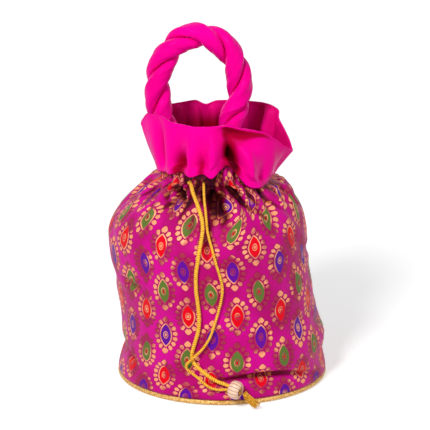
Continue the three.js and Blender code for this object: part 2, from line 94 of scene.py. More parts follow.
# %% Blends and lines
def smooth(value, low, high):
    """0 below low and 1 above high, with an even blend between them."""
    share = np.clip((value - low) / (high - low), 0, 1)
    return share * share * (3 - 2 * share)


def hill(offset, half):
    """1 at the middle, and a quarter where the offset is half."""
    return np.exp(-1.4 * (offset / half) ** 2)


def turn_between(start, end):
    """The turn from start to end, the short way round."""
    return (end - start + 180) % 360 - 180


def shares(count):
    """The edges of count even parts of a whole, from 0 to 1."""
    return np.arange(count + 1) / count


def unit(vectors):
    return vectors / np.linalg.norm(vectors, axis=-1, keepdims=True)


def ring_points(turns, radius, height, lean=0.0):
    """Points round an upright line that lies lean to the left of the base's middle."""
    turns = np.radians(turns)
    places = np.broadcast_arrays(radius * np.sin(turns) - lean, -radius * np.cos(turns), height)
    return np.stack(places, axis=-1)


def smooth_line(points, per_span):
    """A smooth line through points, with per_span steps between each two."""
    points = np.asarray(points, float)
    padded = np.vstack([2 * points[0] - points[1], points, 2 * points[-1] - points[-2]])
    line = []
    for i in range(len(points) - 1):
        a, b, c, d = padded[i:i + 4]
        for t in np.arange(per_span) / per_span:
            line.append(0.5 * (2 * b + (c - a) * t + (2 * a - 5 * b + 4 * c - d) * t ** 2
                               + (3 * b - a - 3 * c + d) * t ** 3))
    return np.array(line + [points[-1]])


def distances(line):
    """How far along a line each of its points lies."""
    return np.concatenate([[0], np.cumsum(np.linalg.norm(np.diff(line, axis=0), axis=1))])


def length_of(line):
    return float(distances(line)[-1])


def points_at(places, known, points, **options):
    """Points between known ones. Places are on the same scale as known."""
    return np.stack([np.interp(places, known, points[:, i], **options) for i in range(3)], axis=1)

# %% [markdown]
# A loft takes its rows as a grid of points. It can carry one more number for each point, which the
# finishes use later for painted shade in the folds.

# %% Meshes
def link_mesh(name, points, faces, corners, folds=None):
    """A mesh from points in millimetres, with one place in the cloth for each face corner."""
    mesh = bpy.data.meshes.new(name)
    mesh.from_pydata((np.asarray(points) * MM).tolist(), [], faces)
    # The layer folds carries each point's number for painted shade.
    for layer_name, places in (("cloth", corners), ("folds", folds)):
        if places is not None:
            layer = mesh.uv_layers.new(name=layer_name)
            layer.data.foreach_set("uv", np.asarray(places, float).ravel())
    mesh.polygons.foreach_set("use_smooth", [True] * len(mesh.polygons))
    mesh.update()
    piece = bpy.data.objects.new(name, mesh)
    scene.collection.objects.link(piece)
    return piece


def at_corners(grid):
    """Values at points, as values at the four corners of each face between them."""
    corners = np.stack([grid[:-1, :-1], grid[:-1, 1:], grid[1:, 1:], grid[1:, :-1]], axis=2)
    return corners.reshape(-1, grid.shape[2])


def loft(name, rows, across, along, closed=False, caps=False, painted_shade=None):
    """rows[r][c] is a point, and each row goes once round. across and along place it in the cloth."""
    rows = np.asarray(rows, float)
    count, around = rows.shape[:2]
    steps = count if closed else count - 1
    r, c = np.meshgrid(np.arange(steps), np.arange(around), indexing="ij")
    up, side = (r + 1) % count, (c + 1) % around
    faces = np.stack([r * around + c, r * around + side, up * around + side, up * around + c], axis=2)
    faces = faces.reshape(-1, 4).tolist()
    along = np.asarray(along, float)
    along = along if along.ndim == 2 else along[:, None]
    place = np.stack([np.broadcast_to(across, (steps + 1, around + 1)),
                      np.broadcast_to(along, (steps + 1, around + 1))], axis=2)
    corners = at_corners(place)
    if caps:
        faces += [list(reversed(range(around))), list(range((count - 1) * around, count * around))]
        corners = np.vstack([corners, np.zeros((2 * around, 2))])
    if painted_shade is not None:
        painted_shade = np.concatenate([painted_shade, painted_shade[:, :1]], axis=1)
        painted_shade = at_corners(np.stack([painted_shade, np.zeros_like(painted_shade)], axis=2))
    return link_mesh(name, rows.reshape(-1, 3), faces, corners, painted_shade)


def thicken(piece, thickness):
    """Gives a sheet a wall on its inner side."""
    wall = piece.modifiers.new("wall", "SOLIDIFY")
    wall.thickness = thickness * MM
    wall.offset = -1.0
    wall.use_rim = True
    return wall


def stand_for(piece, slot, *nodes):
    """Lets a piece take the place of the model's nodes, and ride with the bag."""
    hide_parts(*nodes)
    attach(piece, "root")
    return piece

# %% [markdown]
# ## Drawstring
# One cord runs round the neck in its casing and comes out of two slits at the front. Both free
# ends lie down the body and pass through the bead. Each is a tube along the same route as in the
# model. A soft cord lies slightly flat: the left end shows its broad side and the right end its
# edge. The twist of its threads comes later, with its finish.

# %% Cord routes
CORD_DIAMETER = 2.4
LEFT_ROUTE = [
    (-24.4, -38, 157.5), (-23.5, -41, 157.6), (-22.6, -44.6, 156.6), (-21.8, -48.4, 154.1),
    (-20.3, -53, 150.5), (-18.3, -57.1, 146.3), (-16.2, -60.9, 140.8), (-14.7, -64.4, 135.7),
    (-14.3, -68.2, 130), (-15.2, -72.2, 123.6), (-16.7, -75.6, 116), (-17.9, -77, 108),
    (-19.1, -76.7, 98.7), (-19, -76.3, 86.5), (-17.9, -76.1, 77.4), (-16.9, -76, 66.8),
    (-17.4, -75.9, 56.9), (-19.6, -75.4, 48.3), (-21.7, -75, 40.7), (-22.2, -75, 35.8),
    (-20.4, -75.7, 31.2), (-15.3, -77.3, 26.4), (-8.6, -79, 21.6), (-3, -80, 18.6),
    (1.8, -81.6, 17.4), (5.9, -84.1, 16.6), (9.4, -85.9, 16), (13.3, -87.9, 15.3),
]
RIGHT_ROUTE = [
    (-13.6, -42.4, 157.5), (-13.6, -45, 157.2), (-13.5, -48.4, 155), (-13.3, -52.2, 150.7),
    (-12.8, -56.6, 145.4), (-12, -60.3, 139.4), (-11.5, -63.7, 134), (-10.9, -67.4, 129),
    (-9.6, -71.4, 124), (-7.5, -75, 117.2), (-4.6, -77, 106.6), (-1.6, -76.8, 96.5),
    (-0.1, -76.6, 88.2), (-1, -76.6, 79.2), (-3.2, -76.6, 70.1), (-5.8, -76.8, 61.1),
    (-8.9, -77, 51.9), (-13.3, -77.3, 44.3), (-18.4, -78, 38.8), (-22.8, -78.2, 34.7),
    (-25.6, -77.6, 31.8), (-26.4, -76.6, 29.2), (-25.5, -75.9, 26.6), (-23.2, -76, 24.6),
    (-18.2, -77.3, 21), (-13.2, -78.8, 16.8), (-8.3, -79.9, 13.8), (-2.8, -81, 12.9),
    (1.8, -82.2, 13.5), (5.9, -84.1, 13.9), (9.4, -85.9, 13.3), (13.3, -87.9, 12.6),
]
TUBE_CORNERS = 14


def tube(name, line, width, depth, out):
    """A tube along line. It is width wide across, and depth deep towards the direction out."""
    along = unit(np.gradient(line, axis=0))
    side = unit(np.cross(along, np.array(out, float)))
    deep = np.cross(side, along)
    angles = np.arange(TUBE_CORNERS) / TUBE_CORNERS * 2 * math.pi
    rows = [
        point + np.outer(np.cos(angles), a) * width / 2 + np.outer(np.sin(angles), b) * depth / 2
        for point, a, b in zip(line, side, deep)
    ]
    return loft(name, rows, shares(TUBE_CORNERS), distances(line), caps=True)


CORD_FACES = (0, -0.85, 0.53)
LEFT_WIDTH, LEFT_DEPTH = 2.8, 2.2
RIGHT_WIDTH, RIGHT_DEPTH = 2.0, 2.6
left_line = smooth_line(LEFT_ROUTE, 6)
right_line = smooth_line(RIGHT_ROUTE, 6)
left_cord = tube("left_cord", left_line, LEFT_WIDTH, LEFT_DEPTH, CORD_FACES)
right_cord = tube("right_cord", right_line, RIGHT_WIDTH, RIGHT_DEPTH, CORD_FACES)
stand_for(left_cord, "gold_cord", "drawstring_left")
stand_for(right_cord, "gold_cord", "drawstring_right")
print("left cord", round(length_of(left_line), 1), "mm, right", round(length_of(right_line), 1))

# %% [markdown]
# The length inside the casing lies between the brocade and the lining, where nobody sees it, and
# it still has its place round the neck.

# %% Cord in the casing
NECK_LEAN = 5.3
CASING_RADIUS = 36.8
CASING_HEIGHT = 157.5
PRESSED_DIAMETER = 2.2
casing_line = ring_points(np.linspace(-7, 329, 120), CASING_RADIUS, CASING_HEIGHT, NECK_LEAN)
casing_cord = tube("casing_cord", casing_line, PRESSED_DIAMETER, PRESSED_DIAMETER, (0, 0, 1))
stand_for(casing_cord, "gold_cord", "drawstring_in_casing")
print("cord in the casing", round(length_of(casing_line)), "mm")

# %% [markdown]
# ## Brocade body
# The body is one piece of stiff brocade. It stands on the base, bulges over the board's edge, is
# slack in its middle and is gathered at the neck. Its outline is drawn first, and the distance
# along that outline says how far up the cloth a point lies.

# %% Outline of the body
BODY_BOTTOM = 4.3
BELLY_HEIGHT = 112.0
BELLY_RADIUS = 75.0
BELLY_LEAN = 11.0
LEAN_START = 22
NECK_RADIUS = 40.0
NECK_HEIGHT = 156.0
OUTLINE_TOP = 178.0
SHOULDER_POWER = 1.55
# height, radius
SIDE = [(4.5, 79.6), (22, 76.5), (58, 74.5), (BELLY_HEIGHT, BELLY_RADIUS)]


def side_radius(height):
    radius = SIDE[0][1]
    for (low, before), (high, after) in zip(SIDE, SIDE[1:]):
        radius = radius + (after - before) * smooth(height, low, high)
    return radius


def lean_at(height):
    """How far to the left of the base's middle the bag's middle lies."""
    low = smooth(height, LEAN_START, BELLY_HEIGHT)
    high = smooth(height, BELLY_HEIGHT, NECK_HEIGHT)
    return BELLY_LEAN * low + (NECK_LEAN - BELLY_LEAN) * high


side_heights = np.linspace(BODY_BOTTOM, BELLY_HEIGHT, 120)
shoulder = np.linspace(0, math.pi / 2, 160)[1:]
shoulder_in = np.cos(shoulder).clip(0) ** (2 / SHOULDER_POWER)
shoulder_up = np.sin(shoulder) ** (2 / SHOULDER_POWER)
outline_radii = np.concatenate([
    side_radius(side_heights), NECK_RADIUS + (BELLY_RADIUS - NECK_RADIUS) * shoulder_in, [NECK_RADIUS],
])
outline_heights = np.concatenate([
    side_heights, BELLY_HEIGHT + (NECK_HEIGHT - BELLY_HEIGHT) * shoulder_up, [OUTLINE_TOP],
])
outline_arc = distances(np.stack([outline_radii, outline_heights], axis=1))


def arc_at(height):
    """The length of cloth from the body's lower edge up to a height."""
    return np.interp(height, outline_heights, outline_arc)


def radius_of(arc):
    return np.interp(arc, outline_arc, outline_radii)


def height_of(arc):
    return np.interp(arc, outline_arc, outline_heights)


belly_arc = arc_at(BELLY_HEIGHT)
print("cloth from the base to the belly", round(float(belly_arc), 1), "mm")

# %% [markdown]
# The frill is sewn to the body along a seam that isn't level. The gathers push it in and out in
# scallops, it climbs into the deep fold right of the cords, and it sinks on the right, where the
# satin bulges over the brocade.

# %% Seam between the body and the frill
# turn, radius, height
SEAM = np.array([
    (-180, 41.6, 161.6), (-165, 43, 161.6), (-150, 41, 161.4), (-135, 41.6, 161.2), (-120, 43, 161),
    (-105, 41, 160.8), (-90, 41.2, 160.8), (-72, 43.5, 161.5), (-60, 41.8, 162.6), (-47, 44, 163),
    (-36, 40.8, 165.4), (-24, 44.6, 163.4), (-12, 41.2, 165.4), (-3, 45, 163.4), (5, 41.2, 168.5),
    (13, 40.8, 172), (20, 43, 166), (27, 47, 158.4), (38, 48.6, 154.6), (52, 46.4, 155.6),
    (70, 42.6, 156.2), (90, 41.6, 155.8), (105, 43.2, 157.2), (120, 41.2, 158.6), (135, 43, 160),
    (150, 41.2, 161), (165, 43, 161.4), (180, 41.6, 161.6),
])


def round_spline(knots, values, at):
    """Smooth values between knots of a full turn, in degrees."""
    at = (np.asarray(at, float) + 180) % 360 - 180
    slopes = np.gradient(values, knots)
    slopes[0] = slopes[-1] = (values[1] - values[-2]) / (knots[1] - knots[-2] + 360)
    i = np.clip(np.searchsorted(knots, at, side="right") - 1, 0, len(knots) - 2)
    span = knots[i + 1] - knots[i]
    t = (at - knots[i]) / span
    return ((2 * t ** 3 - 3 * t ** 2 + 1) * values[i] + (t ** 3 - 2 * t ** 2 + t) * span * slopes[i]
            + (3 * t ** 2 - 2 * t ** 3) * values[i + 1] + (t ** 3 - t ** 2) * span * slopes[i + 1])


def seam_radius(turn):
    return round_spline(SEAM[:, 0], SEAM[:, 1], turn)


def seam_height(turn):
    return round_spline(SEAM[:, 0], SEAM[:, 2], turn)

# %% [markdown]
# Furrows run down from the neck where the drawstring bunches the cloth, and a few slack folds
# lie further down.

# %% Furrows and slack folds
# turn, depth, run down from the neck, half width in degrees
FURROWS = [
    (1, 8, 46, 11), (24, 5, 30, 7), (44, 4.5, 34, 8), (66, 4, 26, 8), (90, 5, 32, 8),
    (113, 4, 26, 8), (136, 5, 34, 8), (160, 4, 28, 8), (184, 5, 36, 8), (208, 4, 28, 8),
    (231, 5, 32, 8), (254, 4, 26, 8), (278, 5, 32, 8), (301, 4, 28, 7), (329, 6, 34, 8),
]
# turn, height, how far out, half width in degrees, half height
SLACK_FOLDS = [
    (272, 25, -2.6, 26, 6), (268, 80, -2, 24, 8), (88, 33, 3, 30, 10), (150, 60, -2, 22, 12),
    (205, 95, 2, 26, 14),
]
NECK_RIPPLE = 2.6


def furrow_depth(turn, height):
    depth = 0
    casing = 1 - smooth(height, NECK_HEIGHT - 8, NECK_HEIGHT - 1)
    for middle, deep, run, half in FURROWS:
        reach = smooth(height, NECK_HEIGHT - run, NECK_HEIGHT - run * 0.35)
        depth = depth + deep * hill(turn_between(middle, turn), half) * reach * casing
    return depth


def slack_at(turn, height):
    out = 0
    for middle, level, depth, half, rise in SLACK_FOLDS:
        out = out + depth * hill(turn_between(middle, turn), half) * hill(height - level, rise)
    return out


def ripple_at(turn):
    """Small ripples of the neck, where no furrow is."""
    filled = sum(hill(turn_between(middle, turn), half) for middle, _, _, half in FURROWS)
    return NECK_RIPPLE * np.maximum(1 - filled, 0)

# %% [markdown]
# Real cloth is never as smooth as a formula, so creases are laid over it. Each is a short line in the
# cloth, pressed in with a low ridge on both sides. Those at the front are listed one by one. The rest are
# scattered with a fixed seed, so the bag comes out the same each time.

# %% Creases
# turn, distance up the cloth, half length, tilt in degrees, depth, half width
NECK_PUCKERS = [
    (0, 149, 13, 116, 9, 4.6), (-32, 155.5, 10, 138, 8, 3.2), (15.5, 159, 8, 119, 7, 3),
    (42, 156, 10, 112, 5, 3.4), (-32, 168, 6, 90, 4, 3.5), (-4.3, 170, 6, 90, 4, 3),
    (-0.5, 122, 20, 92, 2.6, 4), (14, 144, 14, 128, -2.6, 3.5), (22, 148, 13, 125, 4, 2.6),
    (-42, 153, 11, 118, 3.4, 2.8), (-55, 150, 13, 60, 3, 2.8), (31, 151, 10, 106, 3.6, 2.6),
    (58, 150, 12, 116, 3.4, 3), (-20, 142, 13, 80, 2.6, 2.6), (-66, 146, 13, 62, 2.6, 3),
    (-47, 136, 12, 108, 1.8, 2.8), (-12, 132, 14, 100, 2, 2.6), (8, 130, 12, 62, 1.8, 2.8),
    (36, 134, 13, 128, 1.8, 3), (50, 140, 14, 138, 1.8, 3), (-36, 142, 10, 50, 2, 2.6),
    (72, 150, 11, 100, 3, 3), (-76, 150, 12, 92, 3, 3),
]
LOOSE_CREASES = [
    (17, 113, 12, 165, 1.4, 2.5), (-54, 79, 16, 172, 2.5, 2.5), (-62, 17.5, 9, -23, 2, 2.5),
    (82, 39, 14, 160, 2, 3.5), (-38, 136, 14, 58, 1.1, 3), (-50, 134, 14, 60, 1, 3.2),
    (44, 138, 14, 124, 1.2, 3), (60, 132, 13, 130, 1, 3.2), (-30, 112, 18, 28, 0.8, 4),
    (52, 92, 18, 160, 0.9, 4), (60, 50, 20, 12, 1, 3.6), (-44, 34, 20, 16, 0.8, 3.6),
    (36, 62, 22, -18, 0.7, 4.4), (-6, 60, 18, 30, 0.6, 4.4), (64, 108, 16, 140, 0.9, 3.4),
    (-70, 110, 16, 150, 0.9, 3.4), (10, 40, 16, 12, 0.6, 4), (-24, 84, 14, 160, 0.6, 3.6),
]


def scattered_creases(seed, count):
    random = np.random.default_rng(seed)
    return [(
        float(random.uniform(75, 285)), float(random.uniform(16, 150)),
        float(random.uniform(10, 22)), float(random.uniform(0, 180)),
        float(random.uniform(0.5, 1.2)), float(random.uniform(2.8, 4.6)),
    ) for _ in range(count)]


def crease_depth(turn, arc, creases, blunt=2.0):
    """How far in the creases press the cloth. A crease is sharper where blunt is less than 2."""
    pressed = 0
    for middle, level, reach, tilt, depth, half in creases:
        x = np.radians(turn_between(middle, turn)) * radius_of(level)
        y = arc - level
        c, s = math.cos(math.radians(tilt)), math.sin(math.radians(tilt))
        along, over = x * c + y * s, -x * s + y * c
        fade = np.exp(-(along / reach) ** 2)
        ridges = 0.3 * np.exp(-((np.abs(over) - 1.9 * half) / (0.8 * half)) ** 2)
        pressed = pressed + depth * fade * (np.exp(-np.abs(over / half) ** blunt) - ridges)
    return pressed

# %% [markdown]
# The rows lie closer together near the base and near the neck, where the cloth has its sharpest
# folds. Above the belly they stretch, so that the last one lies on the seam.

# %% Grid of the body
BODY_AROUND = 352
BODY_ROWS = 128
TOP_HEIGHT = 163

turns = np.arange(BODY_AROUND) / BODY_AROUND * 360 - 180
top_arc = arc_at(TOP_HEIGHT)
fine_arc = np.linspace(0, top_arc, 2000)
crowding = 1 + 1.4 * hill(fine_arc - 18, 9) + 0.7 * smooth(fine_arc, 120, 150)
share_of_rows = np.cumsum(crowding) / crowding.sum()
even_arc = np.interp(np.linspace(0, 1, BODY_ROWS), share_of_rows, fine_arc)
even_arc[0] = 0
stretch = ((even_arc - belly_arc) / (top_arc - belly_arc)).clip(0)[:, None]
arcs = even_arc[:, None] + stretch * (arc_at(seam_height(turns)) - top_arc)
height = height_of(arcs)
turn_grid = np.broadcast_to(turns, arcs.shape)
print("body", BODY_AROUND, "by", BODY_ROWS)

# %% [markdown]
# At the right of the front the cloth hangs over its own lower fold. All over the body lie the
# furrows, the slack folds and the creases, and below the drawstring the fine gathers.

# %% Relief of the body
OVERHANG_TURN, OVERHANG_HALF = 24, 36
OVERHANG_OUT, OVERHANG_IN = 3.0, 3.2
SCATTER_SEED, SCATTER_COUNT = 11, 34
PUCKER_BLUNTNESS = 1.5
GATHER_DEPTH = 0.9

fold_line = 23 - 0.0075 * (turn_grid - 20) ** 2
hanging = smooth(height, fold_line - 0.6, fold_line + 1.2) * (1 - smooth(height, fold_line + 4, 54))
tucked = hill(height - (fold_line - 2.4), 2.6)
at_overhang = hill(turn_grid - OVERHANG_TURN, OVERHANG_HALF)
overhang = at_overhang * (OVERHANG_OUT * hanging - OVERHANG_IN * tucked)

rippled = ripple_at(turn_grid) * smooth(height, NECK_HEIGHT - 10, NECK_HEIGHT)
furrowed = furrow_depth(turn_grid, height)
quiet = smooth(height, 5, 14) * (1 - smooth(height, 152, 160))
all_loose = LOOSE_CREASES + scattered_creases(SCATTER_SEED, SCATTER_COUNT)
loose = crease_depth(turn_grid, arcs, all_loose) * quiet
puckered = crease_depth(turn_grid, arcs, NECK_PUCKERS, PUCKER_BLUNTNESS)
gather = np.sin(np.radians(turn_grid * 47)) + 0.6 * np.sin(np.radians(turn_grid * 31 + 40))
out = radius_of(arcs) + rippled - furrowed + slack_at(turn_grid, height) + overhang
out = out - loose - puckered + GATHER_DEPTH * gather * smooth(height, 126, 150)

# %% [markdown]
# Light that falls into a fold of silk comes out darker and redder each time it strikes the cloth. That
# shade is painted into the colour: each point gets a number from 0 to 1 for how much painted shade it
# takes, and the colours of the finish use it. Most of it follows how deep the point lies in the folds
# above, and the ridges of the fine gathers get a little less. The rest is painted at given places, where
# little light comes in: round the cords at the neck, just below the seam and under the overhang.

# %% Painted shade in the folds
CORDS_TURN = -8
below_seam = seam_height(turn_grid) - height
painted_shade_round_cords = 0.6 * hill(turn_grid - CORDS_TURN, 23) * hill(arcs - 160, 20)
painted_shade_behind_cords = 0.5 * hill(turn_grid - CORDS_TURN, 18) * smooth(height, 142, 154)
body_painted_shade = (
    0.95 * smooth(puckered, 0.4, 3.4) + 0.35 * smooth(loose, 0.4, 2) + 0.4 * smooth(furrowed, 3, 8)
    + painted_shade_round_cords + 0.65 * at_overhang * tucked + 0.45 * (1 - smooth(below_seam, 1, 8))
    + painted_shade_behind_cords - 0.2 * gather * smooth(height, 136, 152)
).clip(0, 1)

# %% [markdown]
# The neck is crowded: the casing and its cord lie inside it and the frill's edge outside. So the
# cloth keeps a least distance from the one, and stays within the other. Where a free end of the
# cord presses on the cloth, the cloth gives way.

# %% Room at the neck
BODY_THICKNESS = 1.3
NECK_LEAST, CASING_LEAST = 36.4, 39.7
SEAM_ROOM = 0.9
at_casing = smooth(height, 150, 154)
out = np.maximum(out, NECK_LEAST + (CASING_LEAST - NECK_LEAST) * at_casing)
under_frill = smooth(height, seam_height(turn_grid) - 7, seam_height(turn_grid) - 3)
out = out - np.maximum(out - (seam_radius(turn_grid) - SEAM_ROOM), 0) * under_frill
body_points = ring_points(turn_grid, out, height, lean_at(height))
CORD_ROOM = CORD_DIAMETER / 2 + 0.75
CORD_SPARE = 0.15


def give_way(points, lines, room):
    """Points nearer to a line than room move level towards the bag's middle, to that distance."""
    flat = points.reshape(-1, 3)
    near_front = np.where(flat[:, 1] < -30)[0]
    moved = 0
    for line in lines:
        for start in range(0, len(near_front), 2000):
            part = near_front[start:start + 2000]
            gap = np.linalg.norm(flat[part][:, None, :] - line[None, :, :], axis=2)
            missing = room - gap.min(axis=1)
            push = np.where(missing > 0, missing + CORD_SPARE, 0)
            flat[part, :2] -= unit(flat[part, :2]) * push[:, None]
            moved += int((push > 0).sum())
    return moved


for _ in range(4):
    print("points that gave way", give_way(body_points, [left_line, right_line], CORD_ROOM))
body_radii = np.hypot(body_points[:, :, 0] + lean_at(height), body_points[:, :, 1])

# %% [markdown]
# The pattern is woven into the cloth, so each corner gets its column and its row in the pattern.
# The cloth was cut slightly off the grain at the base, and near the neck the gathers drag single
# motifs out of their place.

# %% Pattern on the body
COLUMNS = 13
COLUMN_PITCH = 36.5
ROW_PITCH = 16.9
ROW_ARCS = [1, 13.9, 17, 24, 200]
ROW_NUMBERS = [0, 1, 1.183, 1.746, 12.16]
# turn, distance up the cloth, drag across, drag up
DRAGGED = [
    (12.3, 144.5, -13, -2), (68.8, 155.9, -15, 8), (11.5, 123.9, 3, -5.8),
    (36.7, 131.8, 6.4, 2), (-44.6, 131.8, 4, 2),
    (-37.5, 98.7, -5.3, 2.8), (-50.5, 82.2, -6.4, 3.2), (44.9, 99, -4.4, 3.1),
    (60.2, 76.7, -6.4, -2.3),
]
DRAG_REACH = 11.0
GRAIN_DRIFT = -6.0

edge_turns = shares(BODY_AROUND) * 360 - 180
edge_arcs = np.concatenate([arcs, arcs[:, :1]], axis=1)
drift = GRAIN_DRIFT * (1 - smooth(edge_arcs, 20, 80))
pattern_column = (edge_turns - drift) / 360 * COLUMNS
pattern_row = np.interp(edge_arcs, ROW_ARCS, ROW_NUMBERS)
for middle, level, across, up in DRAGGED:
    x = np.radians(edge_turns - middle) * radius_of(level)
    reach = DRAG_REACH + 0.55 * math.hypot(across, up)
    pull = np.exp(-(x ** 2 + (edge_arcs - level) ** 2) / reach ** 2)
    pattern_column = pattern_column + pull * across / COLUMN_PITCH
    pattern_row = pattern_row - pull * up / ROW_PITCH

body = loft("body", body_points, pattern_column, pattern_row, painted_shade=body_painted_shade)
thicken(body, BODY_THICKNESS)
stand_for(body, "brocade", "brocade_body")

# %% [markdown]
# ## Lining
# A plain bag hangs inside the brocade, on the board. It shows only down the mouth. It is a
# smaller loft on the same outline, and loosely wrinkled.

# %% Wall of the lining
LINING_AROUND = 160
LINING_TOP = 161.5
LINING_GAP, LINING_FOLDS, LINING_FURROWS = 2.4, 3.2, 7.4
LINING_AT_CASING = 4.9


def lining_inset(height):
    """How far inside the outline the lining hangs, to clear the folds of the brocade."""
    folds = LINING_FOLDS * smooth(height, BODY_BOTTOM, 22)
    furrows = LINING_FURROWS * smooth(height, BELLY_HEIGHT - 4, NECK_HEIGHT - 16)
    inset = LINING_GAP + folds + furrows
    return inset + (LINING_AT_CASING - inset) * smooth(height, NECK_HEIGHT - 8, NECK_HEIGHT)


lining_turns = np.arange(LINING_AROUND) / LINING_AROUND * 360
lining_arcs = np.linspace(0, arc_at(LINING_TOP), 70)[:, None]
lining_height = height_of(lining_arcs)
wrinkle = np.sin(np.radians(lining_turns * 17)) + np.sin(np.radians(lining_turns * 29 + 50))
slack = smooth(lining_height, 100, 130) * (1 - smooth(lining_height, 146, 152))
lining_radius = radius_of(lining_arcs) - lining_inset(lining_height) - 0.4 - 0.3 * wrinkle * slack

# %% [markdown]
# Where the gathers press the brocade in, the lining goes in with it. It keeps inside the least
# radius that the brocade has nearby, because a steep fold is thick when measured level.

# %% Lining inside the brocade
NEAR_ROWS, NEAR_COLUMNS = 2, 4
LINING_CLEARANCE = 0.5
padded_radii = np.pad(body_radii, ((NEAR_ROWS, NEAR_ROWS), (0, 0)), mode="edge")
least_radii = np.minimum.reduce([
    np.roll(padded_radii[i:i + BODY_ROWS], shift, axis=1)
    for i in range(2 * NEAR_ROWS + 1) for shift in range(-NEAR_COLUMNS, NEAR_COLUMNS + 1)
])
nearest_column = np.round((lining_turns + 180) % 360 / 360 * BODY_AROUND).astype(int) % BODY_AROUND
inside_body = np.stack([
    np.interp(lining_height[:, 0], height[:, c], least_radii[:, c]) for c in nearest_column
], axis=1) - BODY_THICKNESS - LINING_CLEARANCE
lining_radius = np.minimum(lining_radius, inside_body)
print("least radius of the lining", round(float(lining_radius.min()), 1), "mm")

# %% [markdown]
# The lining is closed below. Its top edge turns outwards over the drawstring, which makes the
# casing.

# %% Floor and casing of the lining
LINING_THICKNESS = 0.8
FLOOR_LIFT = 0.1
FLOOR_SHARES = (0.02, 0.3, 0.6, 0.85)
# radius, rise above the wall
CASING_STEPS = ((36.2, 0.5), (37.4, 0.7), (38.2, 0.7))
lining_wall = ring_points(lining_turns, lining_radius, lining_height, lean_at(lining_height))
lining_floor = [
    lining_wall[0] * (share, share, 0) + (0, 0, BODY_BOTTOM + FLOOR_LIFT) for share in FLOOR_SHARES
]
casing = [
    ring_points(lining_turns, reach, LINING_TOP + rise, NECK_LEAN) for reach, rise in CASING_STEPS
]
lining_rows = np.concatenate([lining_floor, lining_wall, casing])
lining = loft("lining", lining_rows, shares(LINING_AROUND), np.arange(len(lining_rows)) / len(lining_rows))
thicken(lining, LINING_THICKNESS)
stand_for(lining, "lining_cloth", "lining_bag")

# %% [markdown]
# ## Frill
# Above the drawstring the bag opens into a frill of doubled satin, folded at the rim. It starts
# on the gathered seam and ends on a rim that wanders in and out and up and down. Its corners are
# rounded a little, since a folded edge never makes a point.

# %% Rim of the frill
RIM = np.array([
    (-60.6, 3, 195), (-60.8, -4.5, 193.6), (-55.4, -14, 203.8), (-46, -23, 204.8),
    (-39, -28.5, 200.8), (-30, -33, 199.7), (-20, -36.5, 198.6), (-9, -38.8, 199.2),
    (2, -41, 200.7), (13, -40, 198.2), (23, -37, 196.4), (31, -32.5, 193.7), (38, -27, 188.2),
    (46, -19.5, 180.6), (53, -10, 174), (50.5, -1, 181.6), (46.5, 5.5, 189), (42.5, 11.5, 195.5),
    (43.4, 18, 200.2), (38, 23.5, 203), (31, 28.5, 204.2), (21, 34, 204.1), (8, 38.5, 204.1),
    (-5, 39.5, 203.6), (-12.5, 36.5, 200.8), (-20, 39, 204.3), (-31, 36, 202.8),
    (-42, 28, 202.5), (-50.5, 19.5, 201.5), (-57.5, 11, 198.5),
], float)

RIM_STEPS = 900
RIM_SOFTNESS = 4.5


def round_loop(points, steps, soften):
    """A closed line through points in even steps, its corners rounded over soften millimetres."""
    closed = np.vstack([points, points[:1]])
    lengths = distances(closed)
    line = points_at(np.arange(steps) / steps * lengths[-1], lengths, closed)
    reach = int(round(soften / lengths[-1] * steps))
    weights = np.hanning(2 * reach + 3)[1:-1]
    weights /= weights.sum()
    wrapped = np.vstack([line[-reach:], line, line[:reach]])
    return np.stack([np.convolve(wrapped[:, i], weights, "valid") for i in range(3)], axis=1)


rim_line = round_loop(RIM, RIM_STEPS, RIM_SOFTNESS)
rim_turns = np.degrees(np.arctan2(rim_line[:, 0] + NECK_LEAN, -rim_line[:, 1]))
order = np.argsort(rim_turns)
rim_turns, rim_line = rim_turns[order], rim_line[order]
print("rim of the frill", round(length_of(rim_line)), "mm round")

# %% [markdown]
# Between the seam and the rim, pleats press the satin in and let it out again. The deepest one folds
# inwards right of the cords and leaves a deep hollow, darkened further by painted shade, beside a full
# bulge.

# %% Pleats of the frill
# turn, depth inwards, half width in degrees, share of the way up where it is deepest, its spread
FRILL_PLEATS = [
    (-62, 5, 5, 0.45, 0.4), (-38, 7.5, 11, 0.1, 0.4), (-14, 5.5, 6, 0.1, 0.38),
    (-26, -2, 4.5, 0.3, 0.3), (17, 13.5, 8, 0.27, 0.36), (21, 7, 20, 0.8, 0.19),
    (-3, -2.5, 5, 0.4, 0.35), (31, -4.5, 6, 0.3, 0.34), (46, 4, 6, 0.12, 0.3),
    (58, -1.5, 7, 0.4, 0.4), (75, 2.5, 7, 0.5, 0.4), (100, 3, 7, 0.5, 0.45),
    (118, 7, 6, 0.55, 0.45), (130, -2.5, 6, 0.7, 0.4), (143, 6, 6, 0.5, 0.45),
    (162, 6.5, 7, 0.55, 0.45), (182, 6, 6, 0.5, 0.45), (201, 6.5, 6, 0.5, 0.45),
    (222, 7, 7, 0.55, 0.45), (244, 4.5, 7, 0.5, 0.45), (262, 3.5, 7, 0.5, 0.45),
]

# %% [markdown]
# The frill's lower edge lies just outside the brocade, and further out where the seam climbs steeply. The
# pleats start above the brocade's top edge, taken at its highest within four degrees. As on the body, each
# point gets a number for its painted shade, which follows the depth of the pleats. Two more painted shades
# are laid on at given places: a wedge under the rim right of the cords, and the cloth beside the dark
# hollow.

# %% Frill
FRILL_AROUND = 440
FRILL_ROWS = 48
FRILL_THICKNESS = 1.4
FRILL_BOW = 1.0
SEAM_GAP, CLIMB_GAP = 1.0, 0.8
SEAM_LAP = 1.2

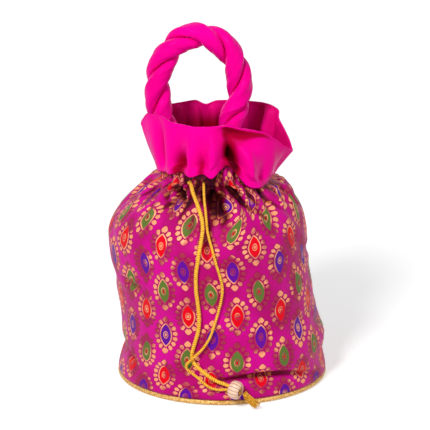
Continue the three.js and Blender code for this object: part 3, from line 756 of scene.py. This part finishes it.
frill_turns = np.arange(FRILL_AROUND) / FRILL_AROUND * 360 - 180
outward = ring_points(frill_turns, 1, 0)
climb = np.abs(np.gradient(seam_height(frill_turns), frill_turns))
seam_points = ring_points(
    frill_turns, seam_radius(frill_turns) + SEAM_GAP + CLIMB_GAP * smooth(climb, 0.3, 1.0),
    seam_height(frill_turns) - SEAM_LAP, NECK_LEAN)
rim_points = points_at(frill_turns, rim_turns, rim_line, period=360)
seam_near = np.maximum.reduce([seam_height(frill_turns + aside) for aside in (-4, -2, 0, 2, 4)])
# Painted shade at given places: a wedge under the rim right of the cords, and a patch beside the hollow.
wedge = 0.36 - 0.3 * smooth(frill_turns, 8, 48)
painted_wedge_shade = 0.6 * smooth(frill_turns, 3, 12) * (1 - smooth(frill_turns, 44, 62))
painted_shade_beside_hollow = 0.5 * hill(frill_turns - 14, 13)

frill_rows, frill_painted_shade = [], []
for share in np.linspace(0, 1, FRILL_ROWS):
    depth = 0
    for middle, deep, half, peak, spread in FRILL_PLEATS:
        across = hill(turn_between(middle, frill_turns), half)
        depth = depth + deep * across * math.exp(-((share - peak) / spread) ** 2)
    depth = depth * smooth(1 - share, 0, 0.12)
    row = seam_points + (rim_points - seam_points) * share
    above_seam = smooth(row[:, 2] - seam_near, 1.6, 5.2)
    bow = FRILL_BOW * math.sin(math.pi * share)
    frill_rows.append(row + outward * (bow - depth * above_seam)[:, None])
    # Painted shade: deeper in the pleats, and at the wedge and the patch.
    painted_pleat_shade = smooth(depth, 0.4, 11) * (1 - 0.4 * smooth(share, 0.35, 0.75))
    painted_shade_under_rim = painted_wedge_shade * smooth(share, 0.96 - 1.5 * wedge, 0.96 - 0.5 * wedge)
    painted_shade_under_rim = painted_shade_under_rim * (1 - smooth(share, 0.94, 0.99))
    painted_shade_patch = painted_shade_beside_hollow * (1 - smooth(share, 0.5, 0.9))
    frill_painted_shade.append(np.maximum.reduce([painted_pleat_shade, painted_shade_under_rim, painted_shade_patch]))
frill = loft("satin_frill", frill_rows, shares(FRILL_AROUND), np.linspace(0, 1, FRILL_ROWS),
             painted_shade=np.array(frill_painted_shade))
frill_wall = thicken(frill, FRILL_THICKNESS)
frill_wall.material_offset = 1
stand_for(frill, "satin", "frill")
print("frill", FRILL_AROUND, "by", FRILL_ROWS)

# %% [markdown]
# ## Handle
# Two tubes of satin, stuffed softly and twisted round each other, are sewn inside the neck at
# both ends. Each strand presses flat against the other and bulges on its free side, so its
# section is like a D that travels round the middle of the rope.

# %% Handle
ROPE_WIDTH = 19.4
ROPE_THICKNESS = 14.8
ROPE_HALF_PITCH = 28.5
ROPE_PHASE = 0.51
ROPE_SLACK = 0.14
FLATTENING = 0.35
STRAND_CORNERS = 56
HANDLE_POINTS = [
    (-39, 0, 166), (-40, 0, 178), (-42.6, 0, 191), (-46.4, 0, 203), (-48.1, 0, 215),
    (-47.4, 0, 230), (-42, 0, 244), (-31.5, 0, 255.5), (-18.4, 0, 260), (-5.5, 0, 256.5),
    (5, 0, 247.5), (11, 0, 234), (12.8, 0, 220), (10.8, -1.5, 208), (7, -4.5, 198),
    (6, -9.5, 188), (9, -16, 177), (16.7, -24.4, 166),
]
HANDLE_STEPS = 240


def even_line(points, count):
    """A smooth line through points in even steps, and its length."""
    line = smooth_line(points, 16)
    steps = distances(line)
    return points_at(np.linspace(0, steps[-1], count), steps, line), steps[-1]


def strand(name, side):
    """One of the two strands. Side is 1 or -1, and puts it on one side of the rope."""
    line, length = even_line(HANDLE_POINTS, HANDLE_STEPS)
    front = np.array([0.0, -1.0, 0.0])
    angles = np.arange(STRAND_CORNERS) / STRAND_CORNERS * 2 * math.pi
    cos, sin = np.cos(angles), np.sin(angles)
    reach = np.where(cos < 0, -np.abs(cos) ** FLATTENING, cos)
    free = smooth(cos, -0.1, 0.6)
    rows = []
    for i, (middle, ahead) in enumerate(zip(line, unit(np.gradient(line, axis=0)))):
        share = i / (HANDLE_STEPS - 1)
        outer = unit(np.cross(front, ahead))
        groove = math.pi * (share - ROPE_PHASE) * length / ROPE_HALF_PITCH
        turned = groove + side * math.pi / 2
        centre = outer * math.cos(turned) + front * math.sin(turned)
        across = np.cross(ahead, centre)
        scale = 0.72 + 0.28 * smooth(min(share, 1 - share), 0, 0.1)
        soft = 0.16 * np.sin(3 * angles + share * 23 + side) + 0.1 * np.sin(5 * angles - share * 37)
        plump = 1 + 0.02 * math.sin(share * 19 + 2 * side)
        deep = ((ROPE_WIDTH - ROPE_SLACK) / 4 * (1 + reach) * plump + soft * free - 0.12) * scale
        wide = ROPE_THICKNESS / 2 * sin * scale * plump
        lifted = ROPE_SLACK / 2 + np.maximum(deep, 0)
        rows.append(middle + np.outer(lifted, centre) + np.outer(wide, across))
    ends = [np.tile(rows[i].mean(axis=0), (STRAND_CORNERS, 1)) for i in (0, -1)]
    rows = [ends[0]] + rows + [ends[1]]
    return loft(name, rows, shares(STRAND_CORNERS), np.linspace(0, 1, len(rows)))


strand_a = stand_for(strand("strand_a", 1), "satin", "handle_strand_a")
strand_b = stand_for(strand("strand_b", -1), "satin", "handle_strand_b")
print("handle", round(length_of(smooth_line(HANDLE_POINTS, 16))), "mm along its middle")

# %% [markdown]
# ## Base
# The edge of the base is covered by a gold braid, which is wound like a thin rope. Under it lie
# a cloth cover and a stiff board. The board keeps the shape that the model gives it.

# %% Piping
PIPING_RING = 78.0
PIPING_RADIUS = 2.0
PIPING_STEPS = 900
PIPING_CORNERS = 14
PIPING_LENGTH = 490
THREADS_ROUND, THREADS_ALONG = 1.5, 105
piping_turns = np.arange(PIPING_STEPS)[:, None] / PIPING_STEPS * 360
corner = np.arange(PIPING_CORNERS) / PIPING_CORNERS * 2 * math.pi
wound = PIPING_RADIUS - 0.16 + 0.14 * np.abs(np.sin(
    corner * THREADS_ROUND + np.radians(piping_turns) * THREADS_ALONG))
piping_rows = ring_points(piping_turns, PIPING_RING + wound * np.cos(corner),
                          PIPING_RADIUS + wound * np.sin(corner))
piping = loft("piping", piping_rows, shares(PIPING_CORNERS), shares(PIPING_STEPS) * PIPING_LENGTH,
              closed=True)
stand_for(piping, "gold_braid", "base_piping")

# %% [markdown]
# The cover is a disc of cloth, drawn tight over the board. It puckers a little near its edge,
# where it is gathered under the braid.

# %% Cover
COVER_RADIUS = 75.6
COVER_THICKNESS = 0.7
COVER_AROUND = 144
COVER_PUCKERS = 36
PUCKER_HEIGHT = 0.08
COVER_SHARES = np.array([0.01, 0.25, 0.5, 0.75, 0.92, 1.0])
cover_turns = np.arange(COVER_AROUND) / COVER_AROUND * 360
ring_share = COVER_SHARES[:, None]
pucker = PUCKER_HEIGHT * (1 + np.sin(np.radians(cover_turns * COVER_PUCKERS))) * ring_share ** 4
cover = loft("cover", ring_points(cover_turns, COVER_RADIUS * ring_share, pucker),
             shares(COVER_AROUND), COVER_SHARES)
thicken(cover, COVER_THICKNESS)
stand_for(cover, "lining_cloth", "base_cover")

# %% [markdown]
# ## Bead and tassel
# The two cord ends pass through one ribbed bead. It is shaped like a small melon with a bore, so
# its outline is turned round the bore, and the ribs make it stand out more or less on the way.

# %% Bead
BEAD_PLACE = np.array([9.4, -85.9, 14.6])
BEAD_AXIS = unit(np.array([0.86, -0.44, -0.16]))
BEAD_RIBS = 14
BEAD_STEPS = 196
BEAD_BORE_RADIUS = 3.1
BEAD_WALL = 3.6
# radius, distance along the bore
BEAD_OUTLINE = [
    (3.15, -3.9), (3.6, -4.2), (4.5, -4.2), (5.5, -3.7), (6.2, -2.6), (6.6, -1.2), (6.7, 0),
    (6.6, 1.2), (6.2, 2.6), (5.5, 3.7), (4.5, 4.2), (3.6, 4.2), (3.15, 3.9), (3.1, 0),
]
bead_side = unit(np.cross([0, 0, 1.0], BEAD_AXIS))
bead_up = np.cross(BEAD_AXIS, bead_side)
bead_rows = []
for angle in np.arange(BEAD_STEPS) / BEAD_STEPS * 2 * math.pi:
    rib = 0.42 * abs(math.cos(BEAD_RIBS / 2 * angle)) - 0.3
    direction = bead_side * math.cos(angle) + bead_up * math.sin(angle)
    bead_rows.append([
        BEAD_PLACE + direction * (r + rib * (r - BEAD_BORE_RADIUS) / BEAD_WALL) + BEAD_AXIS * a
        for r, a in BEAD_OUTLINE
    ])
bead = loft("bead_barrel", bead_rows, shares(len(BEAD_OUTLINE)), shares(BEAD_STEPS), closed=True)
stand_for(bead, "bead", "bead")
print("bead", 2 * max(r for r, _ in BEAD_OUTLINE), "mm across")

# %% [markdown]
# Behind the bead both ends are left frayed. That tassel is a bundle of separate threads, which
# start together and stray apart. A fixed seed keeps them the same each time.

# %% Tassel
TASSEL_LINE = [(15.8, -89.1, 13.4), (18, -88.8, 10.4), (21.4, -88, 6.6), (25.2, -87.2, 2.9)]
TASSEL_SIDE = np.array([0.78, 0, 0.62])
TASSEL_THREADS, TASSEL_SEED = 170, 5
TASSEL_STRAY = 0.6
TASSEL_LOWEST = 0.35
THREAD_RADIUS = 0.21
THREAD_SQUARE = [
    THREAD_RADIUS * np.array([0.7 * math.cos(angle), math.sin(angle), 0.7 * math.cos(angle)])
    for angle in np.arange(4) * math.pi / 2
]


def tassel_threads(count, seed):
    """Points, faces and cloth places of threads that stray apart towards their ends."""
    random = np.random.default_rng(seed)
    middle = smooth_line(TASSEL_LINE, 5)
    points, faces, corners = [], [], []
    for _ in range(count):
        angle, away = random.uniform(0, 2 * math.pi), math.sqrt(random.uniform(0, 1))
        stray = random.normal(0, TASSEL_STRAY, 3)
        stop = int(random.integers(len(middle) - 4, len(middle) + 1))
        for i in range(stop):
            share = i / (len(middle) - 1)
            reach = away * (1.8 + 0.7 * share)
            beside = reach * (math.cos(angle) * TASSEL_SIDE + math.sin(angle) * np.array([0, 1, 0]))
            centre = middle[i] + beside + stray * share
            centre[2] = max(centre[2], TASSEL_LOWEST)
            base = len(points)
            points += [centre + corner for corner in THREAD_SQUARE]
            if i:
                for k in range(4):
                    n = (k + 1) % 4
                    faces.append((base - 4 + k, base - 4 + n, base + n, base + k))
                    corners += [(0, i), (0.1, i), (0.1, i + 1), (0, i + 1)]
    return points, faces, corners


tassel = link_mesh("tassel_threads", *tassel_threads(TASSEL_THREADS, TASSEL_SEED))
stand_for(tassel, "gold_cord", "tassel")
print("tassel faces", len(tassel.data.polygons))

# %% [markdown]
# ## Helpers for materials
# Every finish is made from nodes. A small class holds the result of a node and knows the signs
# of arithmetic, so that a pattern is written as it would be on paper. Each sign adds a node.

# %% Results of nodes
class Result:
    """What a node gives. It can be worked with like a number."""

    def __init__(self, nodes, socket):
        self.nodes = nodes
        self.socket = socket

    def __add__(self, other):
        return self.nodes.maths("ADD", self, other)

    def __sub__(self, other):
        return self.nodes.maths("SUBTRACT", self, other)

    def __rsub__(self, other):
        return self.nodes.maths("SUBTRACT", other, self)

    def __mul__(self, other):
        return self.nodes.maths("MULTIPLY", self, other)

    def __truediv__(self, other):
        return self.nodes.maths("DIVIDE", self, other)

    def __gt__(self, other):
        return self.nodes.maths("GREATER_THAN", self, other)

    def __lt__(self, other):
        return self.nodes.maths("LESS_THAN", self, other)

    def __abs__(self):
        return self.nodes.maths("ABSOLUTE", self)

    def __round__(self):
        return self.nodes.maths("ROUND", self)

    def at_least(self, other):
        return self.nodes.maths("MAXIMUM", self, other)

    def sine(self):
        return self.nodes.maths("SINE", self)

# %% [markdown]
# A second class adds nodes to a tree, and a third one holds a material. Colours are written as
# six hex digits, and become the linear numbers that a shader takes.

# %% Node trees and finishes
def linear(code):
    parts = [int(code[i:i + 2], 16) / 255 for i in (0, 2, 4)]
    return tuple(p / 12.92 if p <= 0.04045 else ((p + 0.055) / 1.055) ** 2.4 for p in parts) + (1.0,)


class Nodes:
    """A node tree, with short ways to add to it."""

    def __init__(self, tree):
        self.tree = tree

    def put(self, socket, value):
        """Links a result to a socket, or sets the socket to a number or a colour."""
        if isinstance(value, Result):
            self.tree.links.new(value.socket, socket)
        else:
            socket.default_value = linear(value) if isinstance(value, str) else value

    def node(self, kind, inputs=(), output=0, **settings):
        made = self.tree.nodes.new(kind)
        for key, value in settings.items():
            setattr(made, key, value)
        for key, value in dict(inputs).items():
            self.put(made.inputs[key], value)
        return Result(self, made.outputs[output])

    def maths(self, operation, a, b=0.0):
        return self.node("ShaderNodeMath", {0: a, 1: b}, operation=operation)

    def mix(self, share, a, b):
        """Colour a where share is 0, and colour b where it is 1."""
        return self.node("ShaderNodeMix", {0: share, 6: a, 7: b}, output=2, data_type="RGBA")

    def step(self, value, low, high):
        """0 below low and 1 above high; where low is the greater, the other way round."""
        return self.node("ShaderNodeMapRange", {"Value": value, "From Min": low, "From Max": high},
                         interpolation_type="SMOOTHSTEP")

    def parts(self, vector):
        """The three numbers of a vector."""
        made = self.tree.nodes.new("ShaderNodeSeparateXYZ")
        self.put(made.inputs[0], vector)
        return [Result(self, output) for output in made.outputs]


class Finish(Nodes):
    """A material, with short ways to give it colour and relief."""

    def __init__(self, name, roughness, **sockets):
        self.material = bpy.data.materials.new(name)
        self.material.use_nodes = True
        super().__init__(self.material.node_tree)
        self.shader = self.tree.nodes["Principled BSDF"]
        for socket, value in {"Roughness": roughness, **sockets}.items():
            self.put(self.shader.inputs[socket.replace("_", " ")], value)

    def noise(self, scale, detail=2.0):
        place = self.node("ShaderNodeTexCoord", output="Object")
        return self.node("ShaderNodeTexNoise", {"Vector": place, "Scale": scale, "Detail": detail})

    def cloth_place(self, layer="cloth"):
        """The two texture coordinates of the piece."""
        return self.parts(self.node("ShaderNodeUVMap", uv_map=layer))[:2]

    def painted_fold_shade(self, colour, shaded, deepest):
        """The colour, painted towards shaded and then to deepest as painted shade, where the cloth goes
        into a fold.
        """
        painted_shade, _ = self.cloth_place("folds")
        colour = self.mix(self.step(painted_shade, 0.0, 0.55), colour, shaded)
        return self.mix(self.step(painted_shade, 0.5, 1.0), colour, deepest)

    def colour(self, value):
        self.put(self.shader.inputs["Base Color"], value)

    def bump(self, height, distance):
        relief = {"Height": height, "Distance": distance * MM, "Strength": 1.0}
        self.put(self.shader.inputs["Normal"], self.node("ShaderNodeBump", relief))


PINK_SHINE = "FF70C0"

# %% [markdown]
# ## Brocade
# The pattern is a diagonal lattice of small flower motifs. Two lattices, shifted by half a
# column, share the cloth in diamonds. Each point of the cloth finds its own diamond, and the
# motif is drawn once round that diamond's middle.

# %% Lattice of the brocade
brocade = Finish("brocade", 0.5, Specular_IOR_Level=0.35, Specular_Tint=PINK_SHINE)
column, row = brocade.cloth_place()


def nearest_motif(shift_column, shift_row):
    """Offsets in pattern units from the nearest motif of one lattice, and that motif's row."""
    across = column - shift_column
    up = row - shift_row
    nearest = round(up * 0.5) * 2.0
    return across - round(across), up - nearest, nearest + shift_row


across_a, up_a, row_a = nearest_motif(0.5, 0.0)
across_b, up_b, row_b = nearest_motif(0.0, 1.0)
in_b = abs(across_a) * 2.0 + abs(up_a) > 1.0


def choose(a, b):
    """The value of the lattice in whose diamond the point lies."""
    return a + in_b * (b - a)


motif_x = choose(across_a, across_b) * COLUMN_PITCH
motif_y = choose(up_a, up_b) * ROW_PITCH
motif_row = choose(row_a, row_b)

# %% [markdown]
# A motif is a pointed oval, which is the shape where two circles overlap. Round it go a thin
# gold outline, a thin dark line and fourteen blocky petals, with a wider petal at each tip. An
# angle from the far circle's middle gives each petal its place along the oval.

# %% Motif of the brocade
OVAL_HALF_WIDTH, OVAL_HALF_HEIGHT = 4.3, 8.2
OVAL_CIRCLE = (OVAL_HALF_HEIGHT ** 2 + OVAL_HALF_WIDTH ** 2) / (2 * OVAL_HALF_WIDTH)
CIRCLE_SHIFT = OVAL_CIRCLE - OVAL_HALF_WIDTH
PETAL_ANGLE = 0.3
TIP_ANGLE = 3 * PETAL_ANGLE
PETAL_START, PETAL_LENGTH, PETAL_ROUNDNESS = 1.8, 5.7, 9.0
DOT_STRETCH = 1.35


def distance(x, y):
    return brocade.maths("SQRT", x * x + y * y)


from_axis, from_middle = abs(motif_x), abs(motif_y)
side_step = from_axis + CIRCLE_SHIFT
edge = distance(side_step, motif_y) - OVAL_CIRCLE
petal_turn = brocade.maths("ARCTAN2", from_middle, side_step)
petal_count = petal_turn / PETAL_ANGLE
side_petal = petal_count - brocade.maths("FLOOR", petal_count) - 0.5
tip_half = (from_middle * (1 / math.tan(TIP_ANGLE)) - CIRCLE_SHIFT).at_least(0.1)
tip_petal = from_axis / tip_half * 0.5
petal = side_petal + (petal_turn > TIP_ANGLE) * (tip_petal - side_petal)
beyond = edge - (PETAL_LENGTH - petal * petal * PETAL_ROUNDNESS)
beside = abs(petal) - (brocade.step(edge, PETAL_START, 4.6) * 0.14 + 0.26)
petals = (brocade.step(beyond, 0.15, -0.15) * brocade.step(beside, 0.03, -0.03)
          * brocade.step(edge, PETAL_START, 2.1))
surround = brocade.step(beyond, 0.8, 0.4) * brocade.step(edge, 0.9, 1.1)
outline = brocade.step(edge, 0.0, 0.2) * brocade.step(edge, 1.15, 0.95)
filled = brocade.step(edge, 0.15, 0.0)
dot_away = distance(motif_x, motif_y / DOT_STRETCH)
dot = brocade.step(dot_away, 1.1, 0.85)
dot_ring = brocade.step(dot_away, 1.45, 1.65) * brocade.step(dot_away, 2.25, 2.0)

# %% [markdown]
# Rows go purple, red, green from the base up. Gold thread is painted bright, as painted light where it
# would catch the light, and a dull red-brown, as painted shade where it wouldn't. It does so in patches
# from noise, since the cloth isn't flat.

# %% Colours of the brocade
WEFT_PITCH, WARP_PITCH = 0.62, 0.9
ROW_KINDS = 3.0
row_kind = brocade.maths("FLOORED_MODULO", motif_row + 100 * ROW_KINDS + 0.01, ROW_KINDS)
is_red = (row_kind > 0.5) * (row_kind < 1.5)
is_green = row_kind > 1.5
fill = brocade.mix(is_green, brocade.mix(is_red, "5A0A96", "E4000F"), "557328")

weft = (row * (ROW_PITCH * 2 * math.pi / WEFT_PITCH)).sine()
warp = (column * (COLUMN_PITCH * 2 * math.pi / WARP_PITCH)).sine()
painted_thread_light = brocade.step(brocade.noise(58.0, 1.5), 0.44, 0.58)
gold = brocade.mix(painted_thread_light, "9E2C48", "F8A878")
gold = brocade.mix(brocade.step(weft, 0.1, 0.9) * 0.3, gold, "A83A44")
# Painted shade: the gold thread turns darker and browner deep in the folds.
gold = brocade.painted_fold_shade(gold, "A85A34", "481408")

patchy = brocade.step(brocade.noise(26.0, 3.0), 0.34, 0.68)
ground = brocade.mix(patchy, "AE0066", "D0008E")
ground = brocade.mix(brocade.step(warp, 0.2, 1.0) * 0.12, ground, "E83AA4")
red_heart = dot * is_green
cloth = brocade.mix(surround * 0.6, ground, "8C0034")
cloth = brocade.mix(filled, cloth, fill)
cloth = brocade.mix(red_heart * filled, cloth, "C8101C")
# Painted shade: the ground and the motifs turn darker and redder deep in the folds.
cloth = brocade.painted_fold_shade(cloth, "6A0020", "200004")
heart = (dot - red_heart).at_least(dot_ring)
raised = petals.at_least(outline)
brocade.colour(brocade.mix(raised.at_least(heart * filled), cloth, gold))

# %% [markdown]
# The gold thread stands a little above the ground and is slightly metallic. Under both lie the
# weave and the small unevenness of a gathered cloth.

# %% Relief of the brocade
brocade.put(brocade.shader.inputs["Metallic"], raised * 0.3)
woven = weft * 0.12 + brocade.noise(1200.0, 2.0) * 0.4
rumpled = brocade.noise(75.0, 3.0) * 9.0
brocade.bump(raised * 0.9 + (woven + rumpled), 0.14)
print("brocade nodes", len(brocade.tree.nodes))

# %% [markdown]
# ## Satin
# Satin is smooth and glossy along its threads, with soft broad highlights and a slight change of
# tone from fold to fold. The weave is too fine to see, so it is a very shallow bump.

# %% Satin
satin = Finish("satin", 0.42, Specular_IOR_Level=0.2, Specular_Tint="FF40B0")
satin_tone = satin.step(satin.noise(22.0, 2.0), 0.3, 0.72)
satin_colour = satin.mix(satin_tone, "E60080", "FA009C")
# Painted shade: the satin turns darker and redder in the folds, under the frill's rim and beside its
# hollow.
satin.colour(satin.painted_fold_shade(satin_colour, "A8002C", "4A0006"))
satin.bump(satin.noise(70.0, 2.0) + satin.noise(1600.0, 1.0) * 0.06, 0.3)

# %% [markdown]
# Its reverse, which lines the mouth, is duller. Its colour is a darker, redder copy of the satin's, as
# painted shade inside the mouth. The back of the mouth is painted a darker red still by its place, low
# down, as painted shade where the light that comes in has struck cloth several times.

# %% Reverse of the satin
reverse = Finish("satin_reverse", 0.55, Specular_IOR_Level=0.25, Specular_Tint=PINK_SHINE)
mouth_across, mouth_up = reverse.cloth_place()
painted_shade_patch = reverse.step(abs(mouth_across - 0.5), 0.38, 0.46) * reverse.step(mouth_up, 0.9, 0.6)
reverse_colour_with_painted_shade = reverse.mix(reverse.step(reverse.noise(40.0, 2.0), 0.35, 0.65), "C80060", "F00084")
reverse.colour(reverse.mix(painted_shade_patch, reverse_colour_with_painted_shade, "8A0018"))
reverse.bump(reverse.noise(90.0, 2.0), 0.3)

# %% [markdown]
# ## Lining, board, gold and bead
# The lining is a plain matte cloth, and the board is rough and speckled.

# %% Lining cloth and board
lining_cloth = Finish("lining_cloth", 0.85, Specular_IOR_Level=0.2)
lining_cloth.colour(lining_cloth.mix(lining_cloth.noise(60.0, 3.0), "70003E", "94005A"))
lining_cloth.bump(lining_cloth.noise(1500.0, 2.0), 0.1)

board = Finish("board", 0.9)
board.colour(board.mix(board.noise(220.0, 5.0), "8E7652", "B59A70"))
board.bump(board.noise(900.0, 3.0), 0.08)

# %% [markdown]
# The cord is wound from shiny thread, so its ridges are drawn along its own length, and noise breaks them
# up. Its colour is painted light on the ridges and dark orange in the grooves between them, as painted
# light and painted shade. The braid is too fine for ridges to show, and its glitter is painted: noise
# flecks its colour lighter and darker.

# %% Gold cord and braid
THREAD_PITCH = 1.6
gold_cord = Finish("gold_cord", 0.45, Metallic=0.1, Specular_Tint="FFD070")
cord_round, cord_along = gold_cord.cloth_place()
twist = abs(((cord_round * 2.0 + cord_along / THREAD_PITCH) * math.pi).sine())
cord_painted_shading = gold_cord.step(twist + gold_cord.noise(700.0, 3.0) * 2.0, 0.7, 1.9)
gold_cord.colour(gold_cord.mix(cord_painted_shading, "A85E08", "FCC040"))
gold_cord.bump(twist, 0.22)

gold_braid = Finish("gold_braid", 0.5, Metallic=0.15, Specular_Tint="FFE0A0")
painted_glitter = gold_braid.step(gold_braid.noise(800.0, 2.0), 0.35, 0.68)
gold_braid.colour(gold_braid.mix(painted_glitter, "C48C40", "F4CC84"))
gold_braid.bump(gold_braid.noise(900.0, 2.0), 0.1)

# %% [markdown]
# The bead is pale gold with thin brown lines in the grooves between its ribs. Its bore is painted dark, as
# painted shade. The bore is the last stretch of the outline, before it closes on itself.

# %% Bead finish
LINE_WIDTH = 0.3
BORE_SHARE, BORE_REACH = 0.93, 0.06
bead_finish = Finish("bead_finish", 0.35, Coat_Weight=0.3)
bead_across, bead_around = bead_finish.cloth_place()
groove = abs(((bead_around + 0.5 / BEAD_RIBS) * (BEAD_RIBS * math.pi)).sine())
rib_lines = bead_finish.step(groove, LINE_WIDTH, LINE_WIDTH * 0.4)
bore_painted_shade = abs(bead_across - BORE_SHARE) < BORE_REACH
bead_colour = bead_finish.mix(rib_lines, "F4CCB0", "8E5230")
bead_finish.colour(bead_finish.mix(bore_painted_shade, bead_colour, "4A2410"))
bead_finish.bump(rib_lines, -0.1)

# %% [markdown]
# Now each piece gets its finish. The frill has two, because its wall shows the reverse inside.
# The board is the model's own node, and only its material changes.

# %% Give each piece its finish
for piece, *finishes in (
    (body, brocade), (frill, satin, reverse), (strand_a, satin), (strand_b, satin),
    (lining, lining_cloth), (cover, lining_cloth), (piping, gold_braid),
    (left_cord, gold_cord), (right_cord, gold_cord), (casing_cord, gold_cord),
    (tassel, gold_cord), (bead, bead_finish), (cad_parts["base_board"], board),
):
    piece.data.materials.clear()
    for finish in finishes:
        piece.data.materials.append(finish.material)

# %% [markdown]
# ## What is soft
# The body and the lining were cut as wide as the base is round. The cell below works out each cord's
# start, length, diameter and route.

# %% Start, length, diameter and route of each cord
tuple(np.array(LEFT_ROUTE[0]) * MM)
length_of(left_line) * MM
CORD_DIAMETER * MM
(left_line * MM).tolist()
tuple(np.array(RIGHT_ROUTE[0]) * MM)
length_of(right_line) * MM
CORD_DIAMETER * MM
(right_line * MM).tolist()

# %% [markdown]
# ## Studio
# A pale floor, a white surround and two soft lamps. The floor glows a little for what looks at
# it, more so further back, so that the background is white while the bag still stands on its own
# shadow. The surround is white where it is seen and dimmer where it lights the bag.

# %% Floor
floor_mesh = bpy.data.meshes.new("floor")
floor_mesh.from_pydata([(-6, -3, -0.0004), (6, -3, -0.0004), (6, 9, -0.0004), (-6, 9, -0.0004)], [],
                       [(0, 1, 2, 3)])
floor = bpy.data.objects.new("floor", floor_mesh)
scene.collection.objects.link(floor)
floor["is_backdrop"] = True

# %% [markdown]
# The floor's finish adds a glow to a plain pale one. Only rays from the camera or from a gloss
# see that glow, so all that it adds to the bag is its reflection.

# %% Finish of the floor
def looked_at(nodes):
    """1 for a ray that looks, from the camera or from a gloss, and 0 for one that lights."""
    camera_ray = nodes.node("ShaderNodeLightPath", output="Is Camera Ray")
    return camera_ray.at_least(nodes.node("ShaderNodeLightPath", output="Is Glossy Ray"))


floor_finish = bpy.data.materials.new("floor")
floor_finish.use_nodes = True
floor_mesh.materials.append(floor_finish)
floor_nodes = Nodes(floor_finish.node_tree)
floor_nodes.tree.nodes.clear()
_, floor_depth, _ = floor_nodes.parts(floor_nodes.node("ShaderNodeTexCoord", output="Object"))
further = floor_nodes.node("ShaderNodeMapRange", {
    "Value": floor_depth, "From Min": 0.1, "From Max": 2.0, "To Min": 0.5, "To Max": 0.85})
plain = floor_nodes.node("ShaderNodeBsdfDiffuse", {"Color": (0.8, 0.8, 0.8, 1)})
glow = floor_nodes.node("ShaderNodeEmission", {"Strength": looked_at(floor_nodes) * further})
surface = floor_nodes.node("ShaderNodeAddShader", {0: plain, 1: glow})
floor_end = floor_nodes.tree.nodes.new("ShaderNodeOutputMaterial")
floor_nodes.put(floor_end.inputs["Surface"], surface)

# %% [markdown]
# The surround is white to a ray that looks at it, or through something at it, and dimmer to one
# that lights the bag.

# %% Surround
SURROUND_LIGHT = 0.3
world = bpy.data.worlds.new("surround")
scene.world = world
world.use_nodes = True
world_nodes = Nodes(world.node_tree)
background = world_nodes.tree.nodes["Background"]
through = world_nodes.node("ShaderNodeLightPath", output="Is Transmission Ray")
level = world_nodes.node("ShaderNodeMapRange", {
    "Value": looked_at(world_nodes).at_least(through), "To Min": SURROUND_LIGHT, "To Max": 1.0})
world_nodes.put(background.inputs["Color"], (1, 1, 1, 1))
world_nodes.put(background.inputs["Strength"], level)

# %% [markdown]
# Two soft lamps light the bag: a key from the front left and above, and a weak wide fill from
# the right. Both point at the bag's middle.

# %% Lamps
BAG_MIDDLE = np.array([-0.005, 0, 0.13])


def lamp(name, place, size, power):
    data = bpy.data.lights.new(name, "AREA")
    data.size = size
    data.energy = power
    shown = bpy.data.objects.new(name, data)
    shown.location = place
    shown.rotation_euler = Vector(BAG_MIDDLE - np.array(place)).to_track_quat("-Z", "Y").to_euler()
    scene.collection.objects.link(shown)


lamp("key", (-0.7, -1.5, 1.4), 0.4, 32)
lamp("fill", (1.3, -1.1, 0.7), 0.9, 6)

# %% [markdown]
# ## Size
# The model's box and the dressed bag's box are both worked out and printed. The dressed bag
# has to stay inside the model's box.

# %% Boxes of the model and of the dressed bag
dressed_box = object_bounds()
{"cad": [list(c) for c in cad_box], "visual": [list(c) for c in dressed_box]}
print("model box", cad_box, "dressed box", dressed_box)
